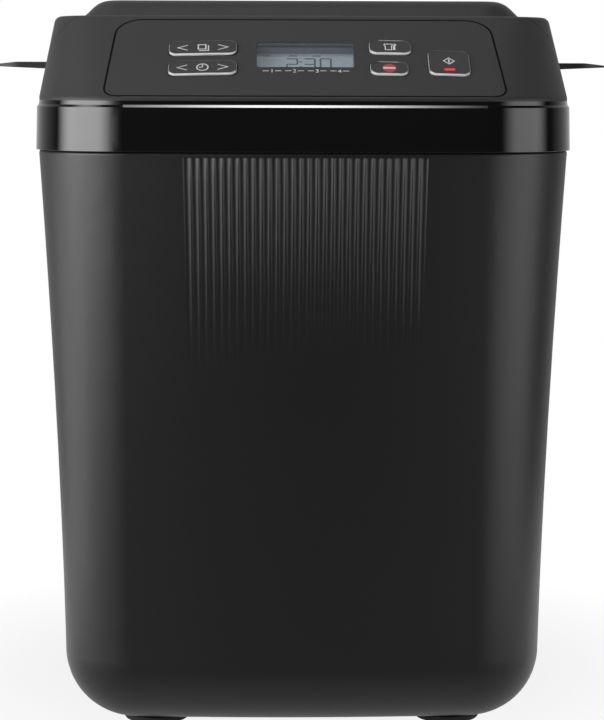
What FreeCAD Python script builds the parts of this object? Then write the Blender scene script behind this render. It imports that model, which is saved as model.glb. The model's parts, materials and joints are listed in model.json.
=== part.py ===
import FreeCAD, Part
import math
import os

from FreeCAD import Placement, Rotation, Vector

# Bread machine. X runs to the right, Y to the back and Z up; the origin is on the table under the middle.
# All sizes are in millimetres, angles in degrees.

# Case outline in plan, where it is widest
case_width = 241.0
case_depth = 305.0
corner_radius = 45.0
front_bow_radius = 1000.0
tightest_corner = 4.0

# How far a cut reaches past the face that it opens, how deep joined forms sink into each other,
# and how exactly an edge is found by its place
spare = 1.0
weld = 0.5
tolerance = 0.01

# Heights, stacked from the table
foot_height = 3.0
case_height = 261.4
band_height = 22.0
deck_rise = 11.0
console_rise = 38.0
dome_rise = 7.6

# Case shell
case_wall = 3.0
case_flare = 10.4
flare_power = 1.6
band_proud = 1.2
case_round = 32.0
case_top_round = 1.5
floor_thinning = 2.0
base_lip = 3.0

# Flutes down the front
flute_count = 31
flute_pitch = 3.46
flute_radius = 3.0
flute_depth = 0.46
flute_end_depth = 0.04
flute_spare = 0.03
flute_length = 96.0
flute_margin = 2.6
flute_splay = 0.016

# Base plate, feet and base screws
plate_clearance = 0.3
plate_flange = 2.5
plate_overlap = 5.0
foot_radius = 15.0
foot_round = 1.2
foot_peg_radius = 4.0
foot_peg_gap = 0.3
foot_margin_x = 2.2
foot_margin_y = 0.6
base_screw_head = 2.1
base_screw_head_height = 1.5
base_screw_shank = 1.4
base_screw_sink = 0.2
base_screw_slot = 0.8
base_screw_slot_depth = 0.6
base_screw_spread_x = 45.0
base_screw_spread_y = 62.0
vent_slot_count = 9
vent_slot_width = 3.0
vent_slot_length = 34.0
vent_slot_pitch = 8.0
vent_slot_margin = 9.0
vent_slot_round = 1.45

# Gloss band
band_chamfer = 0.1
band_face = 19.15
band_face_lean = 0.5
band_bevel_height = 1.05
band_bevel_depth = 0.8

# Console and deck
console_inset = 1.6
console_lean = 4.6
console_lip = 1.5
console_wall = 2.6
console_round = 1.7
ridge_round = 3.5
slope_angle = 35.0
ridge_radius = 26.0
ridge_depth = 7.0
deck_wall = 3.0
deck_overhang_x = 4.5
deck_overhang_y = 12.0
deck_opening_radius = 18.0
skirt_wall = 2.0
skirt_overlap = 7.0
skirt_gap = 0.4
skirt_web = 2.0
skirt_web_bite = 0.8

# Control panel, in distances along the slope from its foot
panel_low = 1.5
panel_high = 59.7
panel_low_half = 87.6
panel_high_half = 83.2
panel_low_radius = 6.0
panel_high_radius = 11.0
panel_wall = 1.5
panel_groove = 0.9
panel_ledge = 4.5
panel_reach = 16.0
panel_rise = 6.0

# Keys: middle across, middle up the slope, width, height
menu_place = (-45.0, 37.6)
timer_place = (-45.0, 22.3)
rocker_size = (30.0, 10.0)
size_place = (38.0, 38.1)
size_key_size = (18.6, 9.8)
stop_place = (37.0, 21.8)
stop_key_size = (16.6, 9.2)
start_place = (63.6, 27.1)
start_key_size = (18.2, 18.0)
key_corner = 3.4
key_proud = 0.9
key_round = 0.4
key_gap = 0.35
rocker_gap = 0.5
key_flange = 1.0
key_flange_wall = 1.0
key_travel = 0.8
key_rest_gap = 0.1
switch_gap = 0.2
hub_margin = 1.0
key_stem_radius = 2.4
stem_depth = 6.2
rocker_pin_radius = 1.0
rocker_pin_depth = 3.8
rocker_pin_length = 2.4
rocker_ear_wall = 2.0
rocker_ear_half = 2.2
pin_clearance = 0.06
switch_spread = 10.5
switch_side = 6.0
switch_cap_radius = 1.7
switch_cap_height = 0.5
switch_height = 2.8
switch_corner = 0.6
lens_size = (4.8, 1.7)
lens_rise = 3.6
lens_proud = 0.1
lens_corner = 0.5
lens_depth = 3.0

# Display and its board
display_place = (0.3, 32.6)
display_size = (42.6, 18.6)
display_corner = 1.2
display_gap = 0.2
display_sink = 0.15
display_flange = 1.6
display_flange_wall = 1.0
display_module_margin = 3.0
display_module_depth = 6.2
display_module_corner = 1.5
board_half = 76.0
board_low = 7.0
board_high = 52.0
board_wall = 1.6
board_corner = 2.0
board_boss_radius = 3.2
board_boss_inset = 5.0

# Lid
lid_gap = 0.8
seam_gap = 0.35
lid_frame_height = 6.8
lid_wall = 2.4
lid_corner = 18.0
dome_inset = 7.7
dome_front_inset = 3.0
dome_back_inset = 8.0
dome_slant = 13.0
dome_corner = 24.0
dome_round = 12.0
wing_reach = 30.5
wing_front = -40.0
wing_length = 92.0
wing_corner = 14.0
wing_wall = 3.2
wing_tip_wall = 0.7
wing_rise = 2.5
wing_nose = 12.0
wing_root = 2.0
liner_wall = 0.8
liner_flange = 7.0
liner_flange_y = 5.0
liner_rise = 11.0
liner_slant = 9.0
steam_hole_inset = 22.5
lid_screw_inset_x = 17.0
lid_screw_front = 20.0
lid_screw_back = 19.0
lid_screw_head = 3.0
lid_screw_head_height = 2.0
lid_screw_shank = 1.4
lid_screw_sink = 0.4
lid_screw_slot = 1.0
lid_screw_slot_depth = 0.8
lid_boss_radius = 4.2
lid_screw_bite = 10.0
steam_slot_count = 9
steam_slot_width = 2.4
steam_slot_round = 1.15
steam_slot_length = 22.0
steam_slot_pitch = 6.5
steam_slot_inset = 46.0

# Hinge
hinge_back = 13.5
hinge_rise = 6.5
hinge_setback = 11.0
hinge_offset = 70.0
knuckle_radius = 5.4
knuckle_width = 10.0
knuckle_root = 4.0
knuckle_rise = 1.5
hinge_post_wall = 6.0
hinge_side_gap = 0.4
hinge_pin_radius = 2.0
hinge_pin_extra = 0.6

# Bread pan
pan_width = 132.0
pan_depth = 142.0
pan_height = 156.0
pan_wall = 1.6
pan_floor = 2.0
pan_corner = 20.0
pan_rim = 1.6
pan_rim_height = 2.0
pan_inner_round = 8.0
pan_skirt_height = 24.0
pan_skirt_radius = 46.0
pan_skirt_wall = 3.0
lug_reach = 3.4
lug_height = 5.6
lug_half_angle = 3.8
lug_lift = 0.3
lug_count = 3
seat_wall = 2.0
seat_radius = 58.0
seat_bore = 20.0
seat_ring_wall = 3.0
seat_gap = 0.5
hook_gap = 0.4
hook_height = 4.0
hook_half_angle = 3.4

# Carrying handle of the pan
handle_wire = 2.0
handle_drop = 7.0
handle_side_gap = 6.0
handle_front_gap = 3.5
handle_bend = 14.0
handle_end_bend = 4.0
handle_lug_wall = 1.8
handle_lug_half = 7.0
handle_lug_height = 16.0
handle_end_gap = 0.6
handle_lug_drop = 1.5
handle_lug_gap = 0.2

# Oven chamber
pan_gap_x = 22.0
pan_gap_y = 19.0
chamber_corner = 14.0
chamber_wall = 1.0
chamber_rear_gap = 20.5
support_length = 31.0
support_radius = 5.0
support_inset = 22.0

# Heater
heater_tube = 3.2
heater_rise = 18.0
heater_gap = 9.0
heater_corner = 15.0
heater_tail = 50.0
heater_bend = 8.0
heater_tail_length = 14.0
terminal_radius = 6.0
terminal_gap = 0.1
terminal_length = 12.0
terminal_inner = 4.0
clip_width = 6.0
clip_depth = 8.0
clip_gap = 0.2

# Temperature probe and safety cut-out
probe_radius = 5.0
probe_rise = 72.0
probe_gap = 3.2
probe_travel = 2.0
probe_tail = 9.0
probe_clearance = 0.06
probe_head = 7.0
probe_head_wall = 2.0
sleeve_wall = 3.0
sleeve_flange = 11.0
sleeve_flange_wall = 2.0
sleeve_length = 14.0
sleeve_inner = 3.0
cutout_radius = 9.0
cutout_wall = 7.0
cutout_rise = 74.0
cutout_tab_length = 6.0
cutout_tab_spread = 5.0
cutout_tab_width = 4.0
cutout_tab_wall = 0.8

# Chassis
standoff_length = 35.5
standoff_radius = 6.0
standoff_inset_x = 6.0
standoff_inset_y = 8.0
chassis_wall = 2.0
chassis_half = 90.0
chassis_corner = 12.0
chassis_front_margin = 1.5
chassis_back_margin = 4.0

# Drive shaft and its bearing
shaft_radius = 5.0
shaft_clearance = 0.04
shaft_tail = 5.0
shaft_cap = 0.6
shaft_cap_overlap = 1.0
bush_wall = 3.0
bush_length = 9.0
bearing_wall = 3.0
bearing_flange = 26.0
bearing_flange_wall = 4.0
bearing_above = 27.0
bearing_below = 6.0
press_gap = 0.02
bearing_hole_gap = 0.3
dog_radius = 13.0
dog_base = 5.0
dog_rise = 8.0
dog_inner = 7.0
dog_half_angle = 20.0
dog_lift = 1.2
blade_shaft_radius = 4.0
coupling_hub = 5.6
coupling_radius = 12.6
coupling_drop = 1.2
coupling_height = 7.0
pan_bush_radius = 8.0
pan_bush_drop = 8.5
pan_bush_flange = 11.0
pan_bush_flange_wall = 2.0
seal_radius = 7.0
seal_height = 3.0
seal_gap = 0.3
blade_hub = 8.0
blade_hub_height = 17.0
blade_reach = 38.0
blade_thick = 4.0
blade_floor_gap = 1.6
blade_height = 17.0
blade_lean = 20.0
blade_hub_round = 2.0
blade_hub_roof = 1.5
spindle_gap = 0.5
blade_step_gap = 0.6

# Belt drive
belt_width = 8.0
belt_wall = 2.2
belt_gap = 0.3
pulley_lift = 11.5
large_pulley_radius = 46.0
small_pulley_radius = 10.0
pulley_flange = 2.6
pulley_flange_wall = 2.0
pulley_hub = 12.0
pulley_web = 4.0
pulley_rim = 5.0
pulley_hole_radius = 8.0
pulley_hole_ring = 27.0
pulley_hole_count = 6

# Motor
motor_front_gap = 5.0
motor_corner = 12.0
motor_gap = 8.0
motor_stack = 30.0
motor_leg = 16.0
motor_plate = 4.0
motor_air_gap = 0.5
motor_pole_depth = 15.0
motor_shaft_radius = 4.0
motor_boss_radius = 9.0
motor_boss_depth = 10.0
motor_boss_gap = 0.3
motor_boss_drop = 1.0
motor_shaft_low = 4.0
motor_shaft_high = 3.0
motor_leg_radius = 6.0
motor_leg_inset = 7.0
winding_leg_gap = 2.8
winding_height = 13.0
winding_gap = 2.5
motor_bolt_radius = 2.2
motor_bolt_head = 4.0
motor_bolt_head_height = 2.5
motor_bolt_gap = 0.1

# Power board
power_board_x = 62.0
power_board_margin = 6.0
power_board_height = 94.0
power_board_wall = 1.6
choke_depth = 22.0
choke_rise = 12.0
choke_height = 28.0
relay_depth = 15.0
relay_rise = 54.0
relay_height = 16.0
socket_depth = 9.0
socket_rise = 80.0
socket_height = 7.0
tall_can_depth = 20.0
short_can_depth = 16.0
can_rise = 62.0

# Cord gland
gland_x = -70.0
gland_rise = 44.0
gland_radius = 7.5
gland_bore = 3.6
gland_flange = 10.0
gland_flange_wall = 2.5
gland_gap = 0.3

# Levels
case_bottom_z = foot_height
case_top_z = case_bottom_z + case_height
band_top_z = case_top_z + band_height
deck_z = band_top_z + deck_rise
ridge_z = band_top_z + console_rise
lid_top_z = ridge_z + dome_rise
plate_top_z = case_bottom_z + case_wall + plate_flange
chassis_z = plate_top_z + standoff_length
chassis_top_z = chassis_z + chassis_wall
chamber_z = chassis_top_z + support_length
chamber_floor_z = chamber_z + chamber_wall
chamber_top_z = deck_z - deck_wall
seat_z = chamber_floor_z + seat_wall
pan_z = seat_z + pan_skirt_height
pan_floor_z = pan_z + pan_floor
pan_top_z = pan_z + pan_height
seal_z = pan_floor_z + pan_bush_flange_wall
blade_z = seal_z + seal_height

# Places derived from the outline
half_width = case_width / 2
half_depth = case_depth / 2
chamber_half_x = pan_width / 2 + pan_gap_x
chamber_half_y = pan_depth / 2 + pan_gap_y
chamber_y = half_depth - chamber_rear_gap - chamber_wall - chamber_half_y
chamber_front = chamber_y - chamber_half_y
chamber_back = chamber_y + chamber_half_y
motor_front = -half_depth + case_flare + band_proud + case_wall + motor_front_gap
motor_side = chamber_front - chamber_wall - motor_gap - motor_front
motor_y = motor_front + motor_side / 2
motor_rotor_radius = motor_side / 2 - motor_pole_depth
hinge_y = half_depth - hinge_back
hinge_z = deck_z + hinge_rise
lid_back = hinge_y - hinge_setback
lid_z = deck_z + lid_gap
lid_split_z = lid_z + lid_frame_height
lid_screw_top = lid_z + lid_screw_sink + lid_screw_head_height
deck_half_x = chamber_half_x - deck_overhang_x
deck_half_y = chamber_half_y - deck_overhang_y

# Console slope
slope_y = -half_depth + console_inset
slope_z = band_top_z + console_lip
slope_sin = math.sin(math.radians(slope_angle))
slope_cos = math.cos(math.radians(slope_angle))
slope_length = (ridge_z - slope_z) / slope_sin
ridge_y = slope_y + slope_length * slope_cos
seam_y = ridge_y + ridge_depth
lid_front = seam_y + seam_gap
console_frame = Placement(Vector(0, slope_y, slope_z), Rotation(Vector(1, 0, 0), slope_angle))
switch_top = stem_depth + key_travel + switch_gap
board_top = switch_top + switch_cap_height + switch_height


def box(x0, x1, y0, y1, z0, z1):
    return Part.makeBox(x1 - x0, y1 - y0, z1 - z0, Vector(x0, y0, z0))


def post(x, y, z0, z1, radius):
    return Part.makeCylinder(radius, z1 - z0, Vector(x, y, z0))


def tube(x, y, z0, z1, outer, inner):
    return post(x, y, z0, z1, outer).cut(post(x, y, z0 - spare, z1 + spare, inner))


def bar_x(x0, x1, y, z, radius):
    return Part.makeCylinder(radius, x1 - x0, Vector(x0, y, z), Vector(1, 0, 0))


def bar_y(y0, y1, x, z, radius):
    return Part.makeCylinder(radius, y1 - y0, Vector(x, y0, z), Vector(0, 1, 0))


def sector(y, inner, outer, middle, half_angle, z0, z1):
    wedge = Part.makeCylinder(outer, z1 - z0, Vector(0, 0, z0), Vector(0, 0, 1), 2 * half_angle)
    wedge.rotate(Vector(0, 0, 0), Vector(0, 0, 1), middle - half_angle)
    wedge.translate(Vector(0, y, 0))
    return wedge.cut(post(0, y, z0 - spare, z1 + spare, inner))


def line(start, end):
    return Part.LineSegment(start, end).toShape()


def arc(start, middle, end):
    return Part.Arc(start, middle, end).toShape()


def joined(first, others):
    return first.fuse(others).removeSplitter()


def mirrored_x(shape):
    return shape.mirror(Vector(0, 0, 0), Vector(1, 0, 0))


def rect(x, y, width, height):
    w = width / 2
    h = height / 2
    return [(x - w, y - h), (x + w, y - h), (x + w, y + h), (x - w, y + h)]


def rounded_loop(corners, radii, z):
    points = [Vector(x, y, z) for x, y in corners]
    count = len(points)
    ends = []
    for i in range(count):
        here = points[i]
        back = (points[i - 1] - here).normalize()
        ahead = (points[(i + 1) % count] - here).normalize()
        half = back.getAngle(ahead) / 2
        reach = radii[i] / math.tan(half)
        middle = (back + ahead).normalize() * (radii[i] / math.sin(half) - radii[i])
        ends.append((here + back * reach, here + middle, here + ahead * reach))
    edges = []
    for i in range(count):
        start, middle, end = ends[i]
        edges.append(arc(start, middle, end))
        edges.append(line(end, ends[(i + 1) % count][0]))
    return Part.Wire(edges)


def rounded_box(x, y, width, height, radius, z0, z1):
    loop = rounded_loop(rect(x, y, width, height), [radius] * 4, z0)
    return Part.Face(loop).extrude(Vector(0, 0, z1 - z0))


def bowed_loop(half, front, back, front_radius, back_radius, bow, z):
    # Closed outline: bowed front, straight sides and back, round corners.
    bow_y = front + bow
    corner_x = half - front_radius
    corner_y = bow_y - math.sqrt((bow - front_radius) ** 2 - corner_x ** 2)
    lean = math.asin(corner_x / (bow - front_radius))
    meet = Vector(bow * math.sin(lean), bow_y - bow * math.cos(lean), z)
    turn = (math.pi / 2 - lean) / 2 + lean
    bend = Vector(corner_x + front_radius * math.sin(turn), corner_y - front_radius * math.cos(turn), z)
    slant = back_radius * math.sqrt(0.5)
    side_low = Vector(half, corner_y, z)
    side_high = Vector(half, back - back_radius, z)
    rear_bend = Vector(half - back_radius + slant, back - back_radius + slant, z)
    rear = Vector(half - back_radius, back, z)

    def left(point):
        return Vector(-point.x, point.y, point.z)

    edges = [
        arc(left(meet), Vector(0, front, z), meet),
        arc(meet, bend, side_low),
        line(side_low, side_high),
        arc(side_high, rear_bend, rear),
        line(rear, left(rear)),
        arc(left(rear), left(rear_bend), left(side_high)),
        line(left(side_high), left(side_low)),
        arc(left(side_low), left(bend), left(meet)),
    ]
    return Part.Wire(edges)


def bow_depth(x):
    # How far the bowed front stands back from its middle, at a distance x to the side.
    return front_bow_radius - math.sqrt(front_bow_radius ** 2 - x ** 2)


def case_loop(inset, z):
    radius = max(corner_radius - inset, tightest_corner)
    return bowed_loop(half_width - inset, -half_depth + inset, half_depth - inset, radius, radius,
                      front_bow_radius - inset, z)


def case_prism(inset, z0, z1):
    return Part.Face(case_loop(inset, z0)).extrude(Vector(0, 0, z1 - z0))


def case_inset(z):
    share = max(z - case_bottom_z, 0) / case_height
    return band_proud + case_flare * (1 - share ** flare_power)


def edges_at(shape, z):
    return [e for e in shape.Edges if max(abs(e.BoundBox.ZMin - z), abs(e.BoundBox.ZMax - z)) < tolerance]


def case_form(offset, z0, z1):
    levels = [z0 + (z1 - z0) * i / 4 for i in range(5)]
    return Part.makeLoft([case_loop(case_inset(z) + offset, z) for z in levels], True, False)


base_inset = case_inset(case_bottom_z) + case_round + base_lip
base_screw_inset = base_inset - plate_overlap / 2
foot_x = half_width - base_inset - foot_peg_radius - foot_margin_x
foot_y = half_depth - base_inset - bow_depth(foot_x) - foot_peg_radius - foot_margin_y
base_screw_x = half_width - base_screw_inset
base_screw_y = half_depth - base_screw_inset
quarters = [(sx, sy) for sx in (-1, 1) for sy in (-1, 1)]
base_screws_at = [(sx * base_screw_x, sy * base_screw_spread_y) for sx, sy in quarters]
base_screws_at += [(sx * base_screw_spread_x, sy * base_screw_y) for sx, sy in quarters]


def fluted(shape):
    # Each flute is a round channel along one long arc, which follows the flare and grows shallow downwards.
    top = case_top_z - flute_margin
    points = []
    for share in (0, 0.5, 1):
        z = top - flute_length * share
        depth = flute_depth + (flute_end_depth - flute_depth) * share
        points.append(Vector(0, -half_depth + case_inset(z) + depth, z))
    start = points[0]
    path = arc(*points)
    across = Vector(1, 0, 0)
    rise = flute_depth + flute_spare
    outer = start + path.tangentAt(path.FirstParameter).cross(across) * rise
    half = math.sqrt(flute_radius ** 2 - (flute_radius - rise) ** 2)
    left = outer - across * half
    right = outer + across * half
    section = Part.Face(Part.Wire([arc(left, start, right), line(right, left)]))
    sweep = math.degrees(path.LastParameter - path.FirstParameter)
    form = section.revolve(path.Curve.Center, path.Curve.Axis, sweep)
    cutters = []
    for i in range(flute_count):
        x = (i - (flute_count - 1) / 2) * flute_pitch
        cutter = form.copy()
        cutter.rotate(start, Vector(0, 1, 0), x * flute_splay)
        cutter.translate(Vector(x, bow_depth(x), 0))
        cutters.append(cutter)
    return shape.cut(cutters)


def body_shell():
    outer = case_form(0, case_bottom_z, case_top_z)
    outer = outer.makeFillet(case_round, edges_at(outer, case_bottom_z))
    outer = outer.makeFillet(case_top_round, edges_at(outer, case_top_z))
    floor_z = case_bottom_z + case_wall
    inner = case_form(case_wall, floor_z, case_top_z + spare)
    inner = inner.makeFillet(case_round - case_wall - floor_thinning, edges_at(inner, floor_z))
    gland_z = case_bottom_z + gland_rise
    rear = half_depth - case_inset(gland_z)
    cuts = [case_prism(base_inset, case_bottom_z - spare, floor_z + spare),
            bar_y(rear - 2 * case_wall, rear + case_wall, gland_x, gland_z, gland_radius + gland_gap)]
    head_z = case_bottom_z + base_screw_head_height
    for x, y in base_screws_at:
        cuts.append(post(x, y, case_bottom_z - spare, head_z, base_screw_head + plate_clearance))
        cuts.append(post(x, y, case_bottom_z, floor_z + spare, base_screw_shank + plate_clearance))
    return fluted(outer).cut(inner).cut(cuts)


def base_plate():
    seat = case_bottom_z + case_wall
    plate = case_prism(base_inset + plate_clearance, case_bottom_z, seat)
    plate = plate.fuse(case_prism(base_inset - plate_overlap, seat, plate_top_z))
    cuts = []
    top = plate_top_z + spare
    for x, y in base_screws_at:
        cuts.append(post(x, y, seat - spare, top, base_screw_shank + press_gap))
    for sx, sy in quarters:
        cuts.append(post(sx * foot_x, sy * foot_y, 0, top, foot_peg_radius + press_gap))
    first = vent_slot_margin + base_inset - half_depth
    for i in range(vent_slot_count):
        y = first + i * vent_slot_pitch
        cuts.append(rounded_box(0, y, vent_slot_length, vent_slot_width, vent_slot_round, 0, top))
    return plate.removeSplitter().cut(cuts)


def feet():
    group = []
    for sx, sy in quarters:
        pad = post(sx * foot_x, sy * foot_y, 0, foot_height, foot_radius)
        pad = pad.makeFillet(foot_round, edges_at(pad, 0))
        peg = post(sx * foot_x, sy * foot_y, foot_height - weld, plate_top_z - foot_peg_gap, foot_peg_radius)
        group.append(joined(pad, [peg]))
    return Part.makeCompound(group)


def base_screws():
    group = []
    low = case_bottom_z + base_screw_sink
    high = case_bottom_z + base_screw_head_height
    half = base_screw_slot / 2
    slot_z = low + base_screw_slot_depth
    for x, y in base_screws_at:
        head = post(x, y, low, high, base_screw_head)
        slot = box(x - base_screw_head, x + base_screw_head, y - half, y + half, 0, slot_z)
        shank = post(x, y, high - weld, plate_top_z - base_screw_sink, base_screw_shank)
        group.append(joined(head.cut(slot), [shank]))
    return Part.makeCompound(group)


def trim_band():
    rows = [(0, band_chamfer), (band_chamfer, 0), (band_face, band_face_lean),
            (band_face + band_bevel_height, band_face_lean + band_bevel_depth), (band_height, console_inset)]
    ring = Part.makeLoft([case_loop(inset, case_top_z + rise) for rise, inset in rows], True, True)
    return ring.cut(case_prism(band_proud + case_wall, case_top_z - spare, band_top_z + spare))


def console_loop(z, offset, slope_offset):
    share = (z - slope_z) / (ridge_z - slope_z)
    lean = console_inset + console_lean * share + offset
    low_radius = corner_radius - console_inset
    radius = max(low_radius + (ridge_radius - low_radius) * share - offset, tightest_corner)
    front = slope_y + (z - slope_z) * slope_cos / slope_sin + slope_offset / slope_sin
    back_radius = low_radius - lean
    return bowed_loop(half_width - lean, front, half_depth - lean, radius, back_radius, front_bow_radius, z)


def console_form():
    # Outer form of console and lid together.
    radius = corner_radius - console_inset
    lip = bowed_loop(half_width - console_inset, slope_y, half_depth - console_inset,
                     radius, radius - console_inset, front_bow_radius, band_top_z)
    return Part.makeLoft([lip, console_loop(slope_z, 0, 0), console_loop(ridge_z, 0, 0)], True, True)


def console_hollow(wall):
    low = console_loop(band_top_z - spare, wall, wall)
    high = console_loop(ridge_z - wall, wall, wall)
    return Part.makeLoft([low, high], True, True)


def slope_side(level):
    # Everything behind the console slope, raised by the given level along the slope's normal.
    reach = corner_radius
    half = half_width + reach
    sag = bow_depth(half)
    foot = console_frame.multVec(Vector(0, -reach, level))
    left = foot + Vector(-half, sag, 0)
    right = foot + Vector(half, sag, 0)
    deep = Vector(0, 2 * reach + sag, 0)
    loop = Part.Wire([
        arc(left, foot, right),
        line(right, right + deep),
        line(right + deep, left + deep),
        line(left + deep, left),
    ])
    return Part.Face(loop).extrude(Vector(0, slope_cos, slope_sin) * (slope_length + 2 * reach))


def on_slope(shape):
    placed = shape.copy()
    placed.transformShape(console_frame.toMatrix())
    return placed


def slope_block(place, size, grow, corner, low, high):
    x, u = place
    width, height = size
    return on_slope(rounded_box(x, u, width + 2 * grow, height + 2 * grow, corner, low, high))


def slope_layer(prism, high, low):
    return prism.common(slope_side(high)).cut(slope_side(low))


def is_upright(edge, y):
    size = edge.BoundBox
    return max(size.XLength, size.YLength, abs(size.YMin - y)) < tolerance


def panel_prism(grow, low, high):
    # Panel outline; its lower and upper edges run along the bow of the slope.
    low_half = panel_low_half + grow
    high_half = panel_high_half + grow
    low_edge = panel_low - grow
    high_edge = panel_high + grow
    low_end = low_edge + bow_depth(low_half) * slope_cos
    high_end = high_edge + bow_depth(high_half) * slope_cos
    corners = [Vector(-low_half, low_end, low), Vector(low_half, low_end, low),
               Vector(high_half, high_end, low), Vector(-high_half, high_end, low)]
    edges = [arc(corners[0], Vector(0, low_edge, low), corners[1]),
             line(corners[1], corners[2]),
             arc(corners[2], Vector(0, high_edge, low), corners[3]),
             line(corners[3], corners[0])]
    prism = Part.Face(Part.Wire(edges)).extrude(Vector(0, 0, high - low))
    for end, radius in ((low_end, panel_low_radius), (high_end, panel_high_radius)):
        prism = prism.makeFillet(radius + grow, [e for e in prism.Edges if is_upright(e, end)])
    return on_slope(prism)


def hinge_posts():
    group = []
    inner = knuckle_width / 2 + hinge_side_gap
    for side in (-1, 1):
        for end in (-1, 1):
            near = side * hinge_offset + end * inner
            far = near + end * hinge_post_wall
            x0 = min(near, far)
            x1 = max(near, far)
            foot = box(x0, x1, hinge_y - knuckle_radius, hinge_y + knuckle_radius, deck_z, hinge_z)
            eye = joined(foot, [bar_x(x0, x1, hinge_y, hinge_z, knuckle_radius)])
            group.append(eye.cut(hinge_bores(press_gap)))
    return Part.makeCompound(group)


def hinge_bores(clearance):
    reach = knuckle_width / 2 + hinge_side_gap + hinge_post_wall + spare
    radius = hinge_pin_radius + clearance
    middles = (-hinge_offset, hinge_offset)
    return [bar_x(x - reach, x + reach, hinge_y, hinge_z, radius) for x in middles]


def deck_opening(z0, z1):
    return rounded_box(0, chamber_y, 2 * deck_half_x, 2 * deck_half_y, deck_opening_radius, z0, z1)


def top_housing(form):
    far = case_depth
    outer = form.makeFillet(ridge_round, edges_at(form, ridge_z))
    outer = outer.makeFillet(console_round, edges_at(outer, slope_z))
    outer = outer.cut(box(-far, far, seam_y, far, deck_z, lid_top_z))
    hollow = console_hollow(console_wall)
    hollow = hollow.cut(box(-far, far, seam_y - console_wall, far, deck_z - deck_wall, lid_top_z))
    skirt_z = case_top_z - skirt_overlap
    skirt_inset = case_inset(skirt_z) + case_wall + skirt_gap
    web_z = band_top_z + skirt_web
    skirt = case_prism(skirt_inset, skirt_z, web_z)
    web = case_prism(console_inset + console_wall - skirt_web_bite, band_top_z, web_z)
    rim = skirt.fuse(web).cut(case_prism(skirt_inset + skirt_wall, skirt_z - spare, web_z + spare))
    housing = outer.cut(hollow).fuse(rim).removeSplitter()
    opening = deck_opening(deck_z - deck_wall - spare, deck_z + spare)
    pocket = panel_prism(panel_groove, -panel_reach, panel_rise).cut(slope_side(-panel_wall))
    window = panel_prism(-panel_ledge, -panel_reach, panel_rise)
    return housing.cut([opening, pocket, window])


def control_panel(form):
    panel = panel_prism(0, -panel_reach, panel_rise).common(form).cut(slope_side(-panel_wall))
    root = slope_side(weld - panel_wall)
    extras = []
    for side in (-1, 1):
        for u in (board_low + board_boss_inset, board_high - board_boss_inset):
            x = side * (board_half - board_boss_inset)
            boss = on_slope(post(x, u, -board_top, 0, board_boss_radius))
            extras.append(boss.common(root))
    for place in (menu_place, timer_place):
        for end in (-1, 1):
            near = place[1] + end * (rocker_size[1] / 2 + rocker_gap)
            far = near + end * rocker_ear_wall
            ear = box(place[0] - rocker_ear_half, place[0] + rocker_ear_half, min(near, far), max(near, far),
                      -rocker_pin_depth - rocker_ear_half, 0)
            ear = ear.cut(bar_y(min(near, far) - spare, max(near, far) + spare, place[0], -rocker_pin_depth,
                                rocker_pin_radius + pin_clearance))
            extras.append(on_slope(ear).common(root))
    panel = joined(panel, extras)
    windows = [(menu_place, rocker_size, rocker_gap, key_corner),
               (timer_place, rocker_size, rocker_gap, key_corner),
               (size_place, size_key_size, key_gap, key_corner),
               (stop_place, stop_key_size, key_gap, key_corner),
               (start_place, start_key_size, key_gap, key_corner),
               (display_place, display_size, display_gap, display_corner)]
    return panel.cut([slope_block(*window, -panel_reach, panel_rise) for window in windows])


def bow_sag(x):
    # Drop of the bowed slope below its middle line, at a distance x to the side.
    return bow_depth(x) * slope_sin


def key_cap(place, size, low, slots):
    cap = slope_block(place, size, 0, key_corner, low, panel_rise).common(slope_side(key_proud)).cut(slots)
    up = Vector(0, -slope_sin, slope_cos)
    top = max(cap.Faces, key=lambda face: face.CenterOfMass.dot(up))
    return cap.makeFillet(key_round, top.OuterWire.Edges)


def rocker_key(place):
    x, u = place
    under = -panel_wall - bow_sag(abs(x) + rocker_size[0] / 2)
    cap = key_cap(place, rocker_size, under, [])
    half = rocker_size[1] / 2 - hub_margin
    hub = box(x - rocker_ear_half, x + rocker_ear_half, u - half, u + half,
              -rocker_pin_depth - rocker_pin_radius, under + weld)
    reach = rocker_size[1] / 2 + rocker_pin_length
    parts = [on_slope(hub)]
    parts.append(on_slope(bar_y(u - reach, u + reach, x, -rocker_pin_depth, rocker_pin_radius)))
    for end in (-1, 1):
        parts.append(on_slope(post(x + end * switch_spread, u, -stem_depth, under + weld, key_stem_radius)))
    return joined(cap, parts)


def press_key(place, size, slots):
    under = -panel_wall - bow_sag(abs(place[0]) + size[0] / 2 + key_flange) - key_rest_gap
    cap = key_cap(place, size, under - key_flange_wall / 2, slots)
    flange = slope_block(place, size, key_flange, key_corner, under - key_flange_wall, under)
    stem = on_slope(post(place[0], place[1], -stem_depth, under - key_flange_wall / 2, key_stem_radius))
    return joined(cap, [flange, stem])


def lens_place():
    return (start_place[0], start_place[1] - start_key_size[1] / 2 + lens_rise)


def start_key():
    slot = slope_block(lens_place(), lens_size, 0, lens_corner, -lens_depth, panel_rise)
    return press_key(start_place, start_key_size, [slot])


def start_lens():
    inner_end = lens_place()[0] - lens_size[0] / 2
    top = key_proud + lens_proud - bow_sag(inner_end)
    return slope_block(lens_place(), lens_size, -press_gap, lens_corner, -lens_depth, top)


def lcd_window():
    def outline(grow):
        return slope_block(display_place, display_size, grow, display_corner, -panel_reach, panel_rise)

    pane = slope_layer(outline(0), -display_sink, -panel_wall - weld)
    flange = outline(display_flange)
    return joined(pane, [slope_layer(flange, -panel_wall, -panel_wall - display_flange_wall)])


def lcd_module():
    return slope_block(display_place, display_size, display_module_margin, display_module_corner,
                       -board_top, -display_module_depth)


def control_board():
    place = (0, (board_low + board_high) / 2)
    size = (2 * board_half, board_high - board_low)
    return slope_block(place, size, 0, board_corner, -board_top - board_wall, -board_top)


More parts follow.
